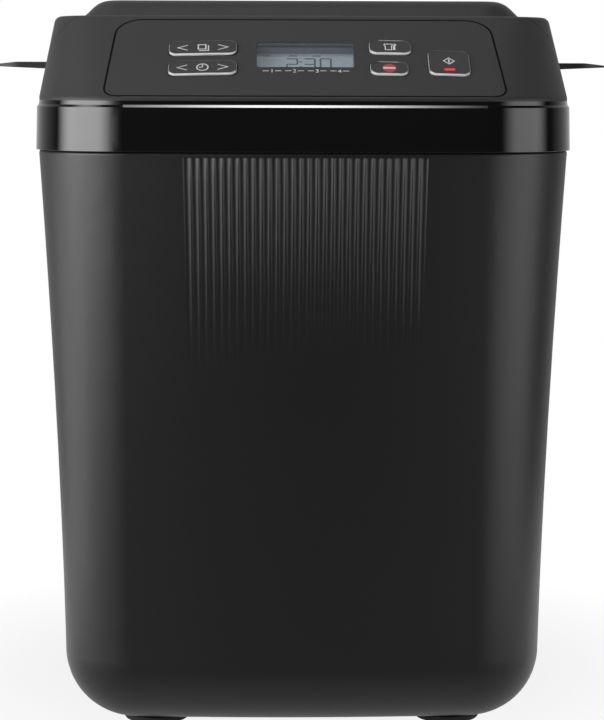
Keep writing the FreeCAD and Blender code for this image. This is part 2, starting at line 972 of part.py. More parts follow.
def tact_switches():
    spots = [size_place, stop_place, start_place]
    for place in (menu_place, timer_place):
        spots += [(place[0] - switch_spread, place[1]), (place[0] + switch_spread, place[1])]
    can_top = switch_height - board_top
    group = []
    for x, u in spots:
        can = rounded_box(x, u, switch_side, switch_side, switch_corner, -board_top, can_top)
        cap = post(x, u, can_top - weld, -switch_top, switch_cap_radius)
        group.append(on_slope(joined(can, [cap])))
    return Part.makeCompound(group)


def dome_form(offset, z0):
    # Raised middle of the lid, from z0 up.
    front = lid_front + dome_front_inset
    back = lid_back - dome_back_inset
    half = half_width - console_inset - console_lean - dome_inset
    loops = []
    for z, inset in ((ridge_z - 2 * lid_wall, offset), (lid_top_z - offset, dome_slant + offset)):
        loops.append(rounded_loop(rect(0, (front + back) / 2, 2 * (half - inset), back - front - 2 * inset),
                                  [max(dome_corner - inset, tightest_corner)] * 4, z))
    form = Part.makeLoft(loops, True, True)
    if offset == 0:
        form = form.makeFillet(dome_round, edges_at(form, lid_top_z))
    far = case_depth
    return form.common(box(-far, far, -far, far, z0, lid_top_z + spare))


def lid_block(form, wall, z0, z1):
    far = case_depth
    back = lid_back - wall
    block = form.common(box(-far, far, lid_front + wall, back, z0, z1))
    rear = [e for e in block.Edges if min(v.Point.y for v in e.Vertexes) > back - tolerance
            and e.BoundBox.ZLength > (z1 - z0) / 2]
    return block.makeFillet(lid_corner - wall, rear)


def lid_screws_at():
    x = half_width - console_inset - lid_screw_inset_x
    first = lid_front + lid_screw_front
    last = lid_back - lid_screw_back
    return [(side * x, y) for side in (-1, 1) for y in (first, (first + last) / 2, last)]


def wing():
    root = deck_half_x + wing_root
    side = half_width - console_inset - console_lean * (lid_z - slope_z) / (ridge_z - slope_z)
    tip = side + wing_reach
    low = lid_z + wing_rise
    high = low + wing_wall
    middle = (low + high) / 2
    corners = [Vector(root, 0, low), Vector(side, 0, low),
               Vector(tip, 0, middle - wing_tip_wall / 2), Vector(tip, 0, middle + wing_tip_wall / 2),
               Vector(tip - wing_nose, 0, high), Vector(root, 0, high)]
    loop = Part.makePolygon(corners + [corners[0]])
    plate = Part.Face(loop).extrude(Vector(0, wing_length, 0))
    plate.translate(Vector(0, wing_front, 0))
    wing_y = wing_front + wing_length / 2
    plan = rounded_box(0, wing_y, 2 * tip, wing_length, wing_corner, low - spare, high + spare)
    return plate.common(plan)


def lid_frame(form):
    frame = lid_block(form, 0, lid_z, lid_split_z)
    knuckles = []
    for side in (-1, 1):
        x0 = side * hinge_offset - knuckle_width / 2
        x1 = side * hinge_offset + knuckle_width / 2
        knuckles.append(box(x0, x1, lid_back - knuckle_root, hinge_y, lid_z + knuckle_rise, lid_split_z))
        knuckles.append(bar_x(x0, x1, hinge_y, hinge_z, knuckle_radius))
    frame = joined(frame, knuckles + [wing(), mirrored_x(wing())])
    cuts = [deck_opening(lid_z - spare, lid_split_z + spare)]
    for x, y in lid_screws_at():
        cuts.append(post(x, y, lid_z - spare, lid_screw_top, lid_screw_head + plate_clearance))
        cuts.append(post(x, y, lid_z, lid_split_z + spare, lid_screw_shank + plate_clearance))
    return frame.cut(cuts + hinge_bores(pin_clearance))


def lid_cover(form):
    block = lid_block(form, 0, lid_split_z, ridge_z)
    outer_edges = [e for e in edges_at(block, ridge_z) if e.BoundBox.YMax > lid_front + tolerance]
    block = block.makeFillet(ridge_round, outer_edges)
    cover = joined(block, [dome_form(0, ridge_z - spare)])
    hollow = lid_block(console_hollow(lid_wall), lid_wall, lid_split_z - spare, ridge_z - lid_wall)
    cover = cover.cut(hollow.fuse(dome_form(lid_wall, ridge_z - lid_wall - spare)))
    bosses = [post(x, y, lid_split_z, ridge_z - lid_wall / 2, lid_boss_radius) for x, y in lid_screws_at()]
    cover = joined(cover, bosses)
    bite_z = lid_split_z + lid_screw_bite + spare
    radius = lid_screw_shank + press_gap
    cuts = [post(x, y, lid_split_z - spare, bite_z, radius) for x, y in lid_screws_at()]
    for i in range(steam_slot_count):
        x = (i - (steam_slot_count - 1) / 2) * steam_slot_pitch
        cuts.append(rounded_box(x, lid_back - steam_slot_inset, steam_slot_width, steam_slot_length,
                                steam_slot_round, ridge_z, lid_top_z + spare))
    return cover.cut(cuts)


def lid_liner():
    low = lid_split_z
    width = 2 * deck_half_x
    depth = 2 * deck_half_y

    def dish(grow, z0, z1):
        loops = []
        for z, inset in ((z0, 0), (z1, liner_slant)):
            shift = 2 * (inset - grow)
            corners = rect(0, chamber_y, width - shift, depth - shift)
            loops.append(rounded_loop(corners, [deck_opening_radius + grow] * 4, z))
        return Part.makeLoft(loops, True, True)

    flange = rounded_box(0, chamber_y, width + 2 * liner_flange, depth + 2 * liner_flange_y,
                         deck_opening_radius + liner_flange, low, low + liner_wall)
    pan = flange.fuse(dish(0, low, low + liner_rise))
    pan = pan.cut(dish(-liner_wall, low, low + liner_rise - liner_wall))
    hole_y = chamber_y + deck_half_y - steam_hole_inset
    holes = []
    for i in range(steam_slot_count):
        x = (i - (steam_slot_count - 1) / 2) * steam_slot_pitch
        holes.append(post(x, hole_y, low, low + 2 * liner_rise, steam_slot_width))
    return pan.removeSplitter().cut(holes)


def lid_screws():
    group = []
    low = lid_z + lid_screw_sink
    half = lid_screw_slot / 2
    slot_z = low + lid_screw_slot_depth
    for x, y in lid_screws_at():
        head = post(x, y, low, lid_screw_top, lid_screw_head)
        slot = box(x - half, x + half, y - lid_screw_head, y + lid_screw_head, lid_z, slot_z)
        shank = post(x, y, lid_screw_top - weld, lid_split_z + lid_screw_bite, lid_screw_shank)
        group.append(joined(head.cut(slot), [shank]))
    return Part.makeCompound(group)


def hinge_pins():
    reach = knuckle_width / 2 + hinge_side_gap + hinge_post_wall + hinge_pin_extra
    return Part.makeCompound([bar_x(x - reach, x + reach, hinge_y, hinge_z, hinge_pin_radius)
                              for x in (-hinge_offset, hinge_offset)])


def bread_pan():
    outer = rounded_box(0, chamber_y, pan_width, pan_depth, pan_corner, pan_z, pan_top_z)
    rim = rounded_box(0, chamber_y, pan_width + 2 * pan_rim, pan_depth + 2 * pan_rim, pan_corner + pan_rim,
                      pan_top_z - pan_rim_height, pan_top_z)
    inner = rounded_box(0, chamber_y, pan_width - 2 * pan_wall, pan_depth - 2 * pan_wall,
                        pan_corner - pan_wall, pan_floor_z, pan_top_z + spare)
    inner = inner.makeFillet(pan_inner_round, edges_at(inner, pan_floor_z))
    bore = post(0, chamber_y, pan_z - spare, pan_floor_z + spare, pan_bush_radius + press_gap)
    return joined(outer, [rim]).cut([inner, bore])


def lug_angle(i):
    return 90 + i * 360 / lug_count


def pan_base():
    skirt = tube(0, chamber_y, seat_z, pan_z, pan_skirt_radius, pan_skirt_radius - pan_skirt_wall)
    lugs = []
    for i in range(lug_count):
        lugs.append(sector(chamber_y, pan_skirt_radius - weld, pan_skirt_radius + lug_reach, lug_angle(i),
                           lug_half_angle, seat_z + lug_lift, seat_z + lug_height))
    return joined(skirt, lugs)


def pan_mount():
    ring = pan_skirt_radius + lug_reach + seat_gap
    seat = tube(0, chamber_y, chamber_floor_z, seat_z, seat_radius, seat_bore)
    hook_z = seat_z + lug_height + hook_gap
    wall = tube(0, chamber_y, seat_z - weld, hook_z + hook_height, ring + seat_ring_wall, ring)
    hooks = []
    for i in range(lug_count):
        hooks.append(sector(chamber_y, pan_skirt_radius + hook_gap, ring + weld, lug_angle(i),
                            hook_half_angle, hook_z, hook_z + hook_height))
    return joined(seat, [wall] + hooks)


def handle_pivot_z():
    return pan_top_z - handle_drop


def pan_handle():
    z = handle_pivot_z()
    wide = pan_width / 2 + handle_side_gap
    front = chamber_y - pan_depth / 2 - handle_front_gap - handle_wire
    inner = pan_width / 2 + handle_end_gap
    turn = handle_end_bend * (1 - math.sqrt(0.5))
    sweep = handle_bend * (1 - math.sqrt(0.5))
    y = chamber_y

    b = handle_bend
    e = handle_end_bend

    def p(x, v):
        return Vector(x, v, z)

    edges = [
        line(p(-inner, y), p(-wide + e, y)),
        arc(p(-wide + e, y), p(-wide + turn, y - turn), p(-wide, y - e)),
        line(p(-wide, y - e), p(-wide, front + b)),
        arc(p(-wide, front + b), p(-wide + sweep, front + sweep), p(-wide + b, front)),
        line(p(-wide + b, front), p(wide - b, front)),
        arc(p(wide - b, front), p(wide - sweep, front + sweep), p(wide, front + b)),
        line(p(wide, front + b), p(wide, y - e)),
        arc(p(wide, y - e), p(wide - turn, y - turn), p(wide - e, y)),
        line(p(wide - e, y), p(inner, y)),
    ]
    ring = Part.Wire([Part.makeCircle(handle_wire, p(-inner, y), Vector(1, 0, 0))])
    return Part.Wire(edges).makePipeShell([ring], True, True)


def handle_lugs():
    z = handle_pivot_z()
    x = pan_width / 2
    bottom = z - handle_lug_height
    lug = box(x, x + handle_lug_wall, chamber_y - handle_lug_half, chamber_y + handle_lug_half, bottom, z)
    cap = bar_x(x, x + handle_lug_wall, chamber_y, z - handle_lug_drop, handle_lug_half)
    top = pan_top_z - pan_rim_height - handle_lug_gap
    lug = joined(lug, [cap]).common(box(0, 2 * x, -case_depth, case_depth, bottom, top))
    bore = bar_x(x - spare, x + handle_lug_wall + spare, chamber_y, z, handle_wire + pin_clearance)
    lug = lug.cut(bore)
    return Part.makeCompound([lug, mirrored_x(lug)])


def blade_spindle():
    low = seat_z + dog_lift + dog_base
    high = blade_z + blade_hub_height - blade_hub_roof - spindle_gap
    return post(0, chamber_y, low, high, blade_shaft_radius)


def pan_coupling():
    low = seat_z + dog_lift + dog_base + coupling_drop
    hub = tube(0, chamber_y, low, low + coupling_height, coupling_hub, blade_shaft_radius)
    high = low + coupling_height
    wings = [sector(chamber_y, coupling_hub - weld, coupling_radius, angle, dog_half_angle, low, high)
             for angle in (90, 270)]
    return joined(hub, wings)


def pan_bush():
    barrel = post(0, chamber_y, pan_z - pan_bush_drop, pan_floor_z, pan_bush_radius)
    flange = post(0, chamber_y, pan_floor_z, seal_z, pan_bush_flange)
    bore = post(0, chamber_y, 0, case_top_z, blade_shaft_radius + shaft_clearance)
    return joined(barrel, [flange]).cut(bore)


def shaft_seal():
    return tube(0, chamber_y, seal_z, blade_z - seal_gap, seal_radius, blade_shaft_radius + shaft_clearance)


def kneading_blade():
    low = blade_z
    high = low + blade_hub_height
    hub = post(0, chamber_y, low, high, blade_hub)
    hub = hub.makeFillet(blade_hub_round, edges_at(hub, high))
    foot = pan_floor_z + blade_floor_gap
    top = foot + blade_height
    lean = blade_height * math.tan(math.radians(blade_lean))
    inner = pan_bush_flange + blade_step_gap
    fin = Part.Face(Part.makePolygon([
        Vector(inner, -blade_thick / 2, foot), Vector(inner, blade_thick / 2, foot),
        Vector(inner, blade_thick / 2 + lean, top), Vector(inner, -blade_thick / 2 + lean, top),
        Vector(inner, -blade_thick / 2, foot)])).extrude(Vector(blade_reach, 0, 0))
    fin = fin.common(post(0, 0, foot - spare, top + spare, blade_reach))
    root = Part.Face(Part.makePolygon([
        Vector(0, -blade_thick / 2, low), Vector(0, blade_thick / 2, low),
        Vector(0, blade_thick / 2 + lean, top), Vector(0, -blade_thick / 2 + lean, top),
        Vector(0, -blade_thick / 2, low)])).extrude(Vector(inner + weld, 0, 0))
    blade = fin.fuse(root)
    blade.translate(Vector(0, chamber_y, 0))
    bore = post(0, chamber_y, low - spare, high - blade_hub_roof, blade_shaft_radius + press_gap)
    return joined(hub, [blade]).cut(bore)


def oven_chamber():
    width = 2 * (chamber_half_x + chamber_wall)
    depth = 2 * (chamber_half_y + chamber_wall)
    outer = rounded_box(0, chamber_y, width, depth, chamber_corner + chamber_wall, chamber_z, chamber_top_z)
    low = chamber_front - chamber_wall - spare
    high = chamber_front + spare
    cuts = [rounded_box(0, chamber_y, 2 * chamber_half_x, 2 * chamber_half_y, chamber_corner,
                        chamber_z - spare, chamber_top_z + spare)]
    heater_z = chamber_floor_z + heater_rise
    for side in (-1, 1):
        cuts.append(bar_y(low, high, side * heater_tail, heater_z, terminal_radius + terminal_gap))
    cuts.append(bar_y(low, high, 0, chamber_floor_z + probe_rise, probe_radius + sleeve_wall + press_gap))
    return outer.cut(cuts)


def chamber_floor():
    plate = rounded_box(0, chamber_y, 2 * (chamber_half_x - press_gap), 2 * (chamber_half_y - press_gap),
                        chamber_corner - press_gap, chamber_z, chamber_floor_z)
    return plate.cut(post(0, chamber_y, chamber_z - spare, chamber_floor_z + spare, seat_bore))


def corner_bosses(x, y):
    return [(sx * x, chamber_y + sy * y) for sx, sy in quarters]


def chamber_supports():
    spots = corner_bosses(chamber_half_x - support_inset, chamber_half_y - support_inset)
    return Part.makeCompound([post(x, y, chassis_top_z, chamber_z, support_radius) for x, y in spots])


def heater_element():
    z = chamber_floor_z + heater_rise
    wide = chamber_half_x - heater_gap - heater_tube
    front = chamber_front + heater_gap + heater_tube
    back = chamber_back - heater_gap - heater_tube
    tail = heater_tail
    start = chamber_front - chamber_wall - heater_tail_length
    r = heater_corner
    cut = r * (1 - math.sqrt(0.5))
    b = heater_bend
    nick = b * (1 - math.sqrt(0.5))

    def p(x, y):
        return Vector(x, y, z)

    edges = [
        line(p(tail, start), p(tail, front - b)),
        arc(p(tail, front - b), p(tail + nick, front - nick), p(tail + b, front)),
        line(p(tail + b, front), p(wide - r, front)),
        arc(p(wide - r, front), p(wide - cut, front + cut), p(wide, front + r)),
        line(p(wide, front + r), p(wide, back - r)),
        arc(p(wide, back - r), p(wide - cut, back - cut), p(wide - r, back)),
        line(p(wide - r, back), p(-wide + r, back)),
        arc(p(-wide + r, back), p(-wide + cut, back - cut), p(-wide, back - r)),
        line(p(-wide, back - r), p(-wide, front + r)),
        arc(p(-wide, front + r), p(-wide + cut, front + cut), p(-wide + r, front)),
        line(p(-wide + r, front), p(-tail - b, front)),
        arc(p(-tail - b, front), p(-tail - nick, front - nick), p(-tail, front - b)),
        line(p(-tail, front - b), p(-tail, start)),
    ]
    ring = Part.Wire([Part.makeCircle(heater_tube, p(tail, start), Vector(0, 1, 0))])
    return Part.Wire(edges).makePipeShell([ring], True, True)


def heater_clips():
    wide = chamber_half_x - heater_gap - heater_tube
    back = chamber_back - heater_gap - heater_tube
    top = chamber_floor_z + heater_rise - heater_tube - clip_gap
    group = []
    for x, y in ((-wide, chamber_y), (wide, chamber_y), (0, back)):
        group.append(box(x - clip_width / 2, x + clip_width / 2, y - clip_depth / 2, y + clip_depth / 2,
                         chamber_floor_z, top))
    return Part.makeCompound(group)


def heater_terminals():
    z = chamber_floor_z + heater_rise
    outer = chamber_front - chamber_wall
    group = []
    for side in (-1, 1):
        x = side * heater_tail
        inner = outer + terminal_inner
        sleeve = bar_y(inner - terminal_length, inner, x, z, terminal_radius)
        bore = bar_y(inner - terminal_length - spare, inner + spare, x, z, heater_tube + terminal_gap)
        group.append(sleeve.cut(bore))
    return Part.makeCompound(group)


def sensor_sleeve():
    z = chamber_floor_z + probe_rise
    inner = chamber_front + sleeve_inner
    barrel = bar_y(inner - sleeve_length, inner, 0, z, probe_radius + sleeve_wall)
    outer = chamber_front - chamber_wall
    flange = bar_y(outer - sleeve_flange_wall, outer, 0, z, sleeve_flange)
    bore = bar_y(inner - sleeve_length - spare, inner + spare, 0, z, probe_radius + probe_clearance)
    return joined(barrel, [flange]).cut(bore)


def sensor_probe():
    z = chamber_floor_z + probe_rise
    tip = chamber_y - pan_depth / 2 - probe_gap
    tail = chamber_front + sleeve_inner - sleeve_length - probe_tail
    pin = bar_y(tail, tip, 0, z, probe_radius)
    head = bar_y(tip - probe_head_wall, tip, 0, z, probe_head)
    return joined(pin, [head])


def thermal_cutout():
    x = -chamber_half_x - chamber_wall
    z = chamber_floor_z + cutout_rise
    can = bar_x(x - cutout_wall, x, chamber_y, z, cutout_radius)
    end = x - cutout_wall
    half = cutout_tab_width / 2
    rise = cutout_tab_wall / 2
    tabs = []
    for side in (-1, 1):
        y = chamber_y + side * cutout_tab_spread
        tabs.append(box(end - cutout_tab_length, end + weld, y - half, y + half, z - rise, z + rise))
    return joined(can, tabs)


def standoff_spots():
    x = half_width - base_inset - standoff_inset_x
    y = half_depth - base_inset - standoff_inset_y
    return [(sx * x, sy * y) for sx, sy in quarters]


def chassis_standoffs():
    spots = standoff_spots()
    return Part.makeCompound([post(x, y, plate_top_z, chassis_z, standoff_radius) for x, y in spots])


def chassis_plate():
    front = motor_y - motor_side / 2 - chassis_front_margin
    back = chamber_back - chassis_back_margin
    plate = rounded_box(0, (front + back) / 2, 2 * chassis_half, back - front, chassis_corner,
                        chassis_z, chassis_top_z)
    bore = shaft_radius + shaft_clearance + bush_wall + bearing_wall + bearing_hole_gap
    holes = [post(0, chamber_y, chassis_z - spare, chassis_top_z + spare, bore),
             post(0, motor_y, chassis_z - spare, chassis_top_z + spare, motor_boss_radius)]
    return plate.cut(holes)


def bearing_housing():
    bore = shaft_radius + shaft_clearance + bush_wall
    low = chassis_z - bearing_below
    high = chassis_top_z + bearing_above
    barrel = post(0, chamber_y, low, high, bore + bearing_wall)
    flange = post(0, chamber_y, chassis_top_z, chassis_top_z + bearing_flange_wall, bearing_flange)
    return joined(barrel, [flange]).cut(post(0, chamber_y, low - spare, high + spare, bore + press_gap))


def shaft_bushes():
    low = chassis_z - bearing_below
    high = chassis_top_z + bearing_above
    inner = shaft_radius + shaft_clearance
    return Part.makeCompound([tube(0, chamber_y, z, z + bush_length, inner + bush_wall, inner)
                              for z in (low, high - bush_length)])


def belt_z():
    return plate_top_z + pulley_lift


def drive_shaft():
    return post(0, chamber_y, belt_z() - shaft_tail, seat_z + dog_lift + dog_base - shaft_cap, shaft_radius)


def drive_dog():
    low = seat_z + dog_lift
    top = low + dog_base
    hub = tube(0, chamber_y, low, top, dog_radius, shaft_radius)
    hub = hub.fuse(post(0, chamber_y, top - shaft_cap, top, shaft_radius + shaft_cap_overlap))
    prongs = [sector(chamber_y, dog_inner, dog_radius, angle, dog_half_angle, top - weld, top + dog_rise)
              for angle in (0, 180)]
    return joined(hub, prongs)


def grooved_pulley(y, radius, bore, hub):
    low = belt_z() - pulley_flange_wall - belt_gap
    high = belt_z() + belt_width + pulley_flange_wall + belt_gap
    wheel = tube(0, y, low, high, radius, bore)
    for z in (low, high - pulley_flange_wall):
        wheel = wheel.fuse(tube(0, y, z, z + pulley_flange_wall, radius + pulley_flange, radius - weld))
    if hub < radius - pulley_rim:
        middle = (low + high) / 2
        for z0, z1 in ((low - spare, middle - pulley_web / 2), (middle + pulley_web / 2, high + spare)):
            wheel = wheel.cut(tube(0, y, z0, z1, radius - pulley_rim, hub))
    return wheel.removeSplitter()


def large_pulley():
    wheel = grooved_pulley(chamber_y, large_pulley_radius, shaft_radius, pulley_hub)
    holes = []
    for i in range(pulley_hole_count):
        angle = 2 * math.pi * i / pulley_hole_count
        x = pulley_hole_ring * math.cos(angle)
        y = chamber_y + pulley_hole_ring * math.sin(angle)
        holes.append(post(x, y, 0, chassis_z, pulley_hole_radius))
    return wheel.cut(holes)


def small_pulley():
    return grooved_pulley(motor_y, small_pulley_radius, motor_shaft_radius, small_pulley_radius)


def belt_form(grow, z0, z1):
    big = large_pulley_radius + grow
    small = small_pulley_radius + grow
    lean = math.asin((big - small) / (chamber_y - motor_y))
    out = Vector(math.cos(lean), -math.sin(lean), 0)
    inn = Vector(-out.x, out.y, 0)
    drive = Vector(0, chamber_y, z0)
    motor = Vector(0, motor_y, z0)
    loop = Part.Wire([
        line(motor + out * small, drive + out * big),
        arc(drive + out * big, drive + Vector(0, big, 0), drive + inn * big),
        line(drive + inn * big, motor + inn * small),
        arc(motor + inn * small, motor + Vector(0, -small, 0), motor + out * small),
    ])
    return Part.Face(loop).extrude(Vector(0, 0, z1 - z0))


def drive_belt():
    low = belt_z()
    high = low + belt_width
    return belt_form(belt_gap + belt_wall, low, high).cut(belt_form(belt_gap, low - spare, high + spare))


def motor_leg_spots():
    reach = motor_side / 2 - motor_leg_inset
    return [(sx * reach, motor_y + sy * reach) for sx, sy in quarters]


motor_low_z = chassis_top_z + motor_plate + motor_leg
motor_high_z = motor_low_z + motor_stack
motor_end_z = motor_high_z + motor_leg + motor_plate
motor_bore = motor_rotor_radius + motor_air_gap


def motor_bolt_holes():
    return [post(x, y, 0, case_top_z, motor_bolt_radius + motor_bolt_gap) for x, y in motor_leg_spots()]


def motor_stator():
    core = rounded_box(0, motor_y, motor_side, motor_side, motor_corner, motor_low_z, motor_high_z)
    return core.cut([post(0, motor_y, 0, case_top_z, motor_bore)] + motor_bolt_holes())


def motor_windings():
    inner = motor_bore + winding_gap
    outer = (motor_side / 2 - motor_leg_inset) * math.sqrt(2) - motor_leg_radius - winding_leg_gap
    return Part.makeCompound([tube(0, motor_y, z, z + winding_height, outer, inner)
                              for z in (motor_low_z - winding_height, motor_high_z)])


def motor_bracket(plate_z, leg_z, boss_z):
    plate = rounded_box(0, motor_y, motor_side, motor_side, motor_corner, plate_z, plate_z + motor_plate)
    legs = [post(x, y, leg_z, leg_z + motor_leg, motor_leg_radius) for x, y in motor_leg_spots()]
    boss = post(0, motor_y, boss_z, boss_z + motor_boss_depth, motor_boss_radius - motor_boss_gap)
    bore = post(0, motor_y, 0, case_top_z, motor_shaft_radius + shaft_clearance)
    return joined(plate, legs + [boss]).cut([bore] + motor_bolt_holes())


def motor_lower_bracket():
    return motor_bracket(chassis_top_z, chassis_top_z + motor_plate, chassis_top_z - motor_boss_drop)


def motor_upper_bracket():
    return motor_bracket(motor_high_z + motor_leg, motor_high_z, motor_end_z - motor_boss_depth)


def motor_bolts():
    group = []
    for x, y in motor_leg_spots():
        shank = post(x, y, chassis_top_z, motor_end_z + weld, motor_bolt_radius)
        head = post(x, y, motor_end_z, motor_end_z + motor_bolt_head_height, motor_bolt_head)
        group.append(joined(shank, [head]))
    return Part.makeCompound(group)


def motor_rotor():
    core = post(0, motor_y, motor_low_z, motor_high_z, motor_rotor_radius)
    shaft = post(0, motor_y, belt_z() - motor_shaft_low, motor_end_z + motor_shaft_high, motor_shaft_radius)
    return joined(core, [shaft])


def power_board():
    half = motor_side / 2 - power_board_margin
    return box(power_board_x, power_board_x + power_board_wall, motor_y - half, motor_y + half,
               chassis_top_z, chassis_top_z + power_board_height)


def power_components():
    # The parts stand on the board in eight equal lanes along its length.
    x = power_board_x + power_board_wall
    z = chassis_top_z
    lane = (motor_side - 2 * power_board_margin) / 8

    def block(depth, first, last, rise, height):
        return box(x, x + depth, motor_y + first * lane, motor_y + last * lane, z + rise, z + rise + height)

    def can(depth, middle, width):
        return bar_x(x, x + depth, motor_y + middle * lane, z + can_rise, width * lane / 2)

    return Part.makeCompound([block(choke_depth, -2, 2, choke_rise, choke_height),
                              block(relay_depth, -3.25, -1, relay_rise, relay_height),
                              block(socket_depth, -2.5, 2.5, socket_rise, socket_height),
                              can(tall_can_depth, 0.75, 1.5), can(short_can_depth, 2.75, 1.25)])


def cord_gland():
    z = case_bottom_z + gland_rise
    rear = half_depth - case_inset(z)
    inner = rear - case_wall - gland_gap
    barrel = bar_y(inner - gland_flange_wall, rear + gland_flange_wall, gland_x, z, gland_radius)
    rings = [bar_y(rear + gland_gap, rear + gland_gap + gland_flange_wall, gland_x, z, gland_flange),
             bar_y(inner - gland_flange_wall, inner, gland_x, z, gland_flange)]
    bore = bar_y(inner - gland_flange_wall - spare, rear + 2 * gland_flange_wall, gland_x, z, gland_bore)
    return joined(barrel, rings).cut(bore)


def build():
    form = console_form()
    return {
        "body_shell": body_shell(),
        "base_plate": base_plate(),
        "feet": feet(),
        "base_screws": base_screws(),
        "trim_band": trim_band(),
        "top_housing": top_housing(form),
        "hinge_posts": hinge_posts(),
        "control_panel": control_panel(form),
        "menu_key": rocker_key(menu_place),
        "timer_key": rocker_key(timer_place),
        "size_key": press_key(size_place, size_key_size, []),
        "stop_key": press_key(stop_place, stop_key_size, []),
        "start_key": start_key(),
        "start_lens": start_lens(),
        "lcd_window": lcd_window(),
        "lcd_module": lcd_module(),
        "control_board": control_board(),
        "tact_switches": tact_switches(),
        "lid_frame": lid_frame(form),
        "lid_cover": lid_cover(form),
        "lid_liner": lid_liner(),
        "lid_screws": lid_screws(),
        "hinge_pins": hinge_pins(),
        "bread_pan": bread_pan(),
        "pan_base": pan_base(),
        "pan_mount": pan_mount(),
        "pan_handle": pan_handle(),
        "handle_lugs": handle_lugs(),
        "blade_spindle": blade_spindle(),
        "pan_coupling": pan_coupling(),
        "pan_bush": pan_bush(),
        "shaft_seal": shaft_seal(),
        "kneading_blade": kneading_blade(),
        "oven_chamber": oven_chamber(),
        "chamber_floor": chamber_floor(),
        "chamber_supports": chamber_supports(),
        "heater_element": heater_element(),
        "heater_clips": heater_clips(),
        "heater_terminals": heater_terminals(),
        "sensor_sleeve": sensor_sleeve(),
        "sensor_probe": sensor_probe(),
        "thermal_cutout": thermal_cutout(),
        "chassis_standoffs": chassis_standoffs(),
        "chassis_plate": chassis_plate(),
        "bearing_housing": bearing_housing(),
        "shaft_bushes": shaft_bushes(),
        "drive_shaft": drive_shaft(),
        "drive_dog": drive_dog(),
        "large_pulley": large_pulley(),
        "small_pulley": small_pulley(),
        "drive_belt": drive_belt(),
        "motor_stator": motor_stator(),
        "motor_windings": motor_windings(),
        "motor_lower_bracket": motor_lower_bracket(),
        "motor_upper_bracket": motor_upper_bracket(),
        "motor_bolts": motor_bolts(),
        "motor_rotor": motor_rotor(),
        "power_board": power_board(),
        "power_components": power_components(),
        "cord_gland": cord_gland(),
    }


os.makedirs("parts", exist_ok=True)
for name, shape in build().items():
    shape.exportStep("parts/" + name + ".step")
    print(name, len(shape.Solids), shape.isValid(), round(shape.Volume / 1000, 2))
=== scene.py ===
import bpy
import bmesh
import json
import math
from mathutils import Matrix, Vector


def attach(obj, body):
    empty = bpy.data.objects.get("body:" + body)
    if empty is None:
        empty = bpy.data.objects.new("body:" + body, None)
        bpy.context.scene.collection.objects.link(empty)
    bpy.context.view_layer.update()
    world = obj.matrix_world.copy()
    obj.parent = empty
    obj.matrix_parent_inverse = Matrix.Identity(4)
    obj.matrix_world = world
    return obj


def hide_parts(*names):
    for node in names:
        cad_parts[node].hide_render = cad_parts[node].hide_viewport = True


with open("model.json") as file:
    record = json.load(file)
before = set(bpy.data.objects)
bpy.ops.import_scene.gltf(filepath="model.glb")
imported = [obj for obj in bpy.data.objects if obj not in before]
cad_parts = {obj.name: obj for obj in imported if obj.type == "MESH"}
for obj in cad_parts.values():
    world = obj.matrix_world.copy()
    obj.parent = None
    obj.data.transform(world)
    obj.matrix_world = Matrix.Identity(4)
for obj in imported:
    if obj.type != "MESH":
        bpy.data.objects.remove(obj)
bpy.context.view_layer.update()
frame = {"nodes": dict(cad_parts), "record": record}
scene = bpy.context.scene
mm = 0.001
print("frame loaded:", len(frame["nodes"]), "nodes")

noiseRange = (0.3, 0.7)  # most of a noise texture's values lie here
reliefDepth = {"moulded": 0.04 * mm, "metal": 0.04 * mm, "spangle": 0.05 * mm, "speckle": 0.03 * mm,
               "layered": 0.1 * mm, "board": 0.05 * mm}


def startFinish(name):
    mat = bpy.data.materials.new(name)
    mat.use_nodes = True
    tree = mat.node_tree
    return mat, tree, tree.nodes["Principled BSDF"]


def objectPlace(tree, stretch=(1, 1, 1)):
    coord = tree.nodes.new("ShaderNodeTexCoord")
    mapping = tree.nodes.new("ShaderNodeMapping")
    mapping.inputs["Scale"].default_value = stretch
    tree.links.new(coord.outputs["Object"], mapping.inputs["Vector"])
    return mapping.outputs["Vector"]


def noise(tree, place, scale, detail=2.0, rough=0.5):
    node = tree.nodes.new("ShaderNodeTexNoise")
    node.inputs["Scale"].default_value = scale
    node.inputs["Detail"].default_value = detail
    node.inputs["Roughness"].default_value = rough
    tree.links.new(place, node.inputs["Vector"])
    return node.outputs["Fac"]


def cells(tree, place, scale, output="Color"):
    node = tree.nodes.new("ShaderNodeTexVoronoi")
    node.inputs["Scale"].default_value = scale
    tree.links.new(place, node.inputs["Vector"])
    return node.outputs[output]


def bands(tree, place, scale, direction):
    node = tree.nodes.new("ShaderNodeTexWave")
    node.bands_direction = direction
    node.inputs["Scale"].default_value = scale
    tree.links.new(place, node.inputs["Vector"])
    return node.outputs["Fac"]


def ramp(tree, value, stops):
    node = tree.nodes.new("ShaderNodeValToRGB")
    while len(node.color_ramp.elements) < len(stops):
        node.color_ramp.elements.new(0.5)
    for element, (at, colour) in zip(node.color_ramp.elements, stops):
        element.position = at
        element.color = (*colour, 1)
    tree.links.new(value, node.inputs["Fac"])
    return node.outputs["Color"]


def span(tree, value, low, high, within=noiseRange):
    node = tree.nodes.new("ShaderNodeMapRange")
    node.inputs["From Min"].default_value, node.inputs["From Max"].default_value = within
    node.inputs["To Min"].default_value = low
    node.inputs["To Max"].default_value = high
    tree.links.new(value, node.inputs["Value"])
    return node.outputs["Result"]


def relief(tree, shader, height, strength, distance):
    node = tree.nodes.new("ShaderNodeBump")
    node.inputs["Strength"].default_value = strength
    node.inputs["Distance"].default_value = distance
    tree.links.new(height, node.inputs["Height"])
    tree.links.new(node.outputs["Normal"], shader.inputs["Normal"])


def shade(colour, by):
    return tuple(max(0.0, c * by) for c in colour)


